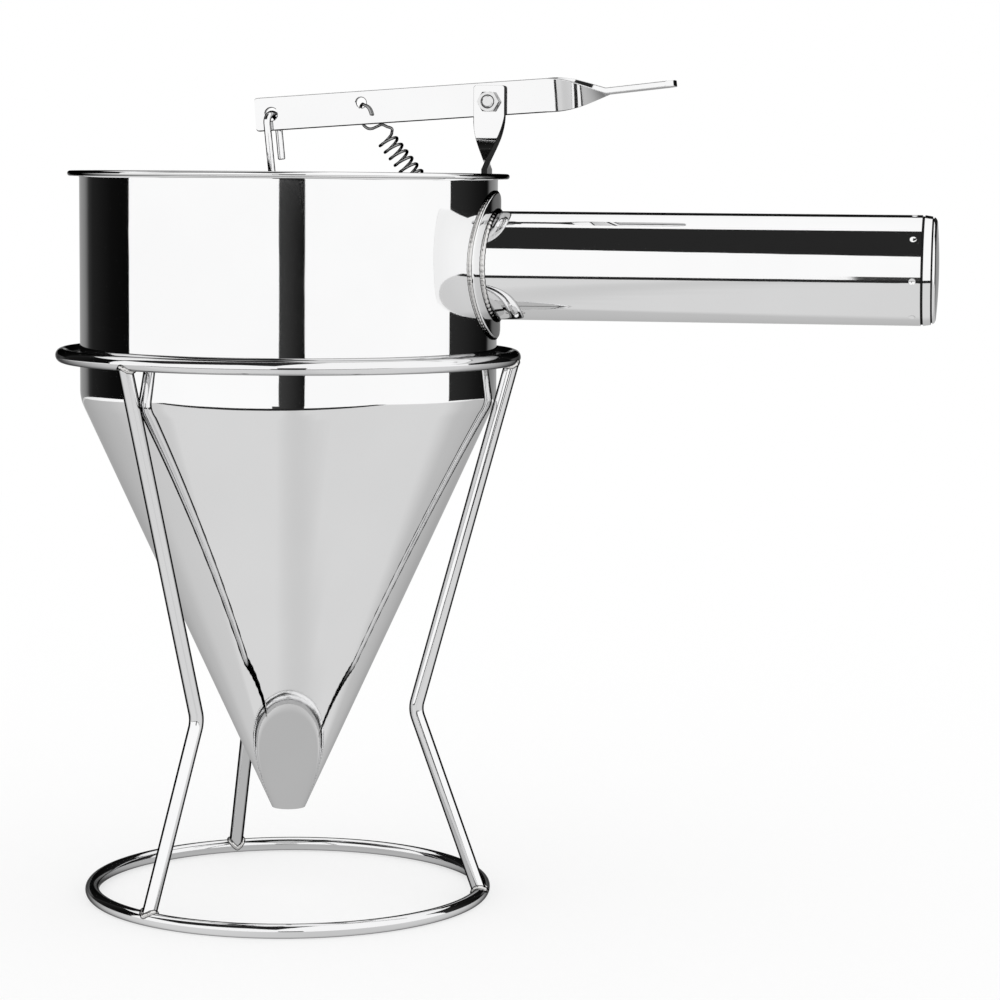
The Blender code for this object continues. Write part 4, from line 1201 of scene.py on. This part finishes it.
# Stand legs: three wires with one bend each, at the waist. They are butt welded to the rings,
# and the funnel's rounded shoulder rests on them.
LEG_NAMES = ("leg_handle_side", "leg_back", "leg_front")
WAIST_RADIUS = 44.6 * mm
WAIST_HEIGHT = 66 * mm
WAIST_BEND_RADIUS = 9 * mm
LEG_BEAD = 0.8 * mm
LEG_BEAD_RIPPLES = 14
LEG_BEAD_STEPS = 96
leg_reach = SHOULDER_RADIUS + STAND_WIRE_RADIUS + FIT
shoulder_out = shoulder_centre[0] - WAIST_RADIUS
shoulder_up = shoulder_centre[1] - WAIST_HEIGHT
leg_angle = math.atan2(shoulder_out, shoulder_up) + math.asin(
    leg_reach / math.hypot(shoulder_out, shoulder_up)
)
foot_angle = math.atan2(BASE_RING_RADIUS - WAIST_RADIUS, WAIST_HEIGHT - base_ring_height)
waist_turn = leg_angle + foot_angle
tangent = WAIST_BEND_RADIUS * math.tan(waist_turn / 2)
bend_start = (
    WAIST_RADIUS + tangent * math.sin(leg_angle),
    WAIST_HEIGHT + tangent * math.cos(leg_angle),
)
bend_centre = (
    bend_start[0] + WAIST_BEND_RADIUS * math.cos(leg_angle),
    bend_start[1] - WAIST_BEND_RADIUS * math.sin(leg_angle),
)
leg_top = (
    WAIST_RADIUS + (top_ring_height - WAIST_HEIGHT) * math.tan(leg_angle),
    top_ring_height,
)
side_view = [leg_top]
side_view += arc(bend_centre, WAIST_BEND_RADIUS, HALF_TURN - leg_angle, HALF_TURN + foot_angle)
side_view.append((BASE_RING_RADIUS, base_ring_height))
for name, turn in zip(LEG_NAMES, turns_round(len(LEG_NAMES))):
    out = Vector((math.cos(turn), math.sin(turn), 0))
    places = [funnel_axis + out * r + UP * z for r, z in side_view]
    top_way = (places[1] - places[0]).normalized()
    foot_way = (places[-2] - places[-1]).normalized()
    places[0] = places[0] + top_way * STAND_WIRE_RADIUS / 2
    places[-1] = places[-1] + foot_way * STAND_WIRE_RADIUS / 2
    leg = tube_along(name + "_wire", places, STAND_WIRE_RADIUS, WIRE_SIDES)
    leg.data.materials.append(wire_steel)
    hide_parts(name)
    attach(leg, "stand")
    ring_way = UP.cross(out)
    welds = (
        ("_top_weld", top_ring_radius, top_ring_height, top_way),
        ("_foot_weld", BASE_RING_RADIUS, base_ring_height, foot_way),
    )
    for end_name, ring_radius, ring_height, way in welds:
        middle = funnel_axis + out * ring_radius + UP * ring_height
        side = way.cross(ring_way).normalized()
        line = []
        for turn in turns_round(LEG_BEAD_STEPS):
            in_ring = math.cos(turn) * STAND_WIRE_RADIUS
            aside = math.sin(turn) * STAND_WIRE_RADIUS
            clear = math.hypot(in_ring, LEG_BEAD / 2)
            line.append(middle + ring_way * in_ring + side * aside + way * clear)
        bead(
            name + end_name, line, [way] * LEG_BEAD_STEPS, LEG_BEAD, LEG_BEAD_RIPPLES,
            "stand",
        )
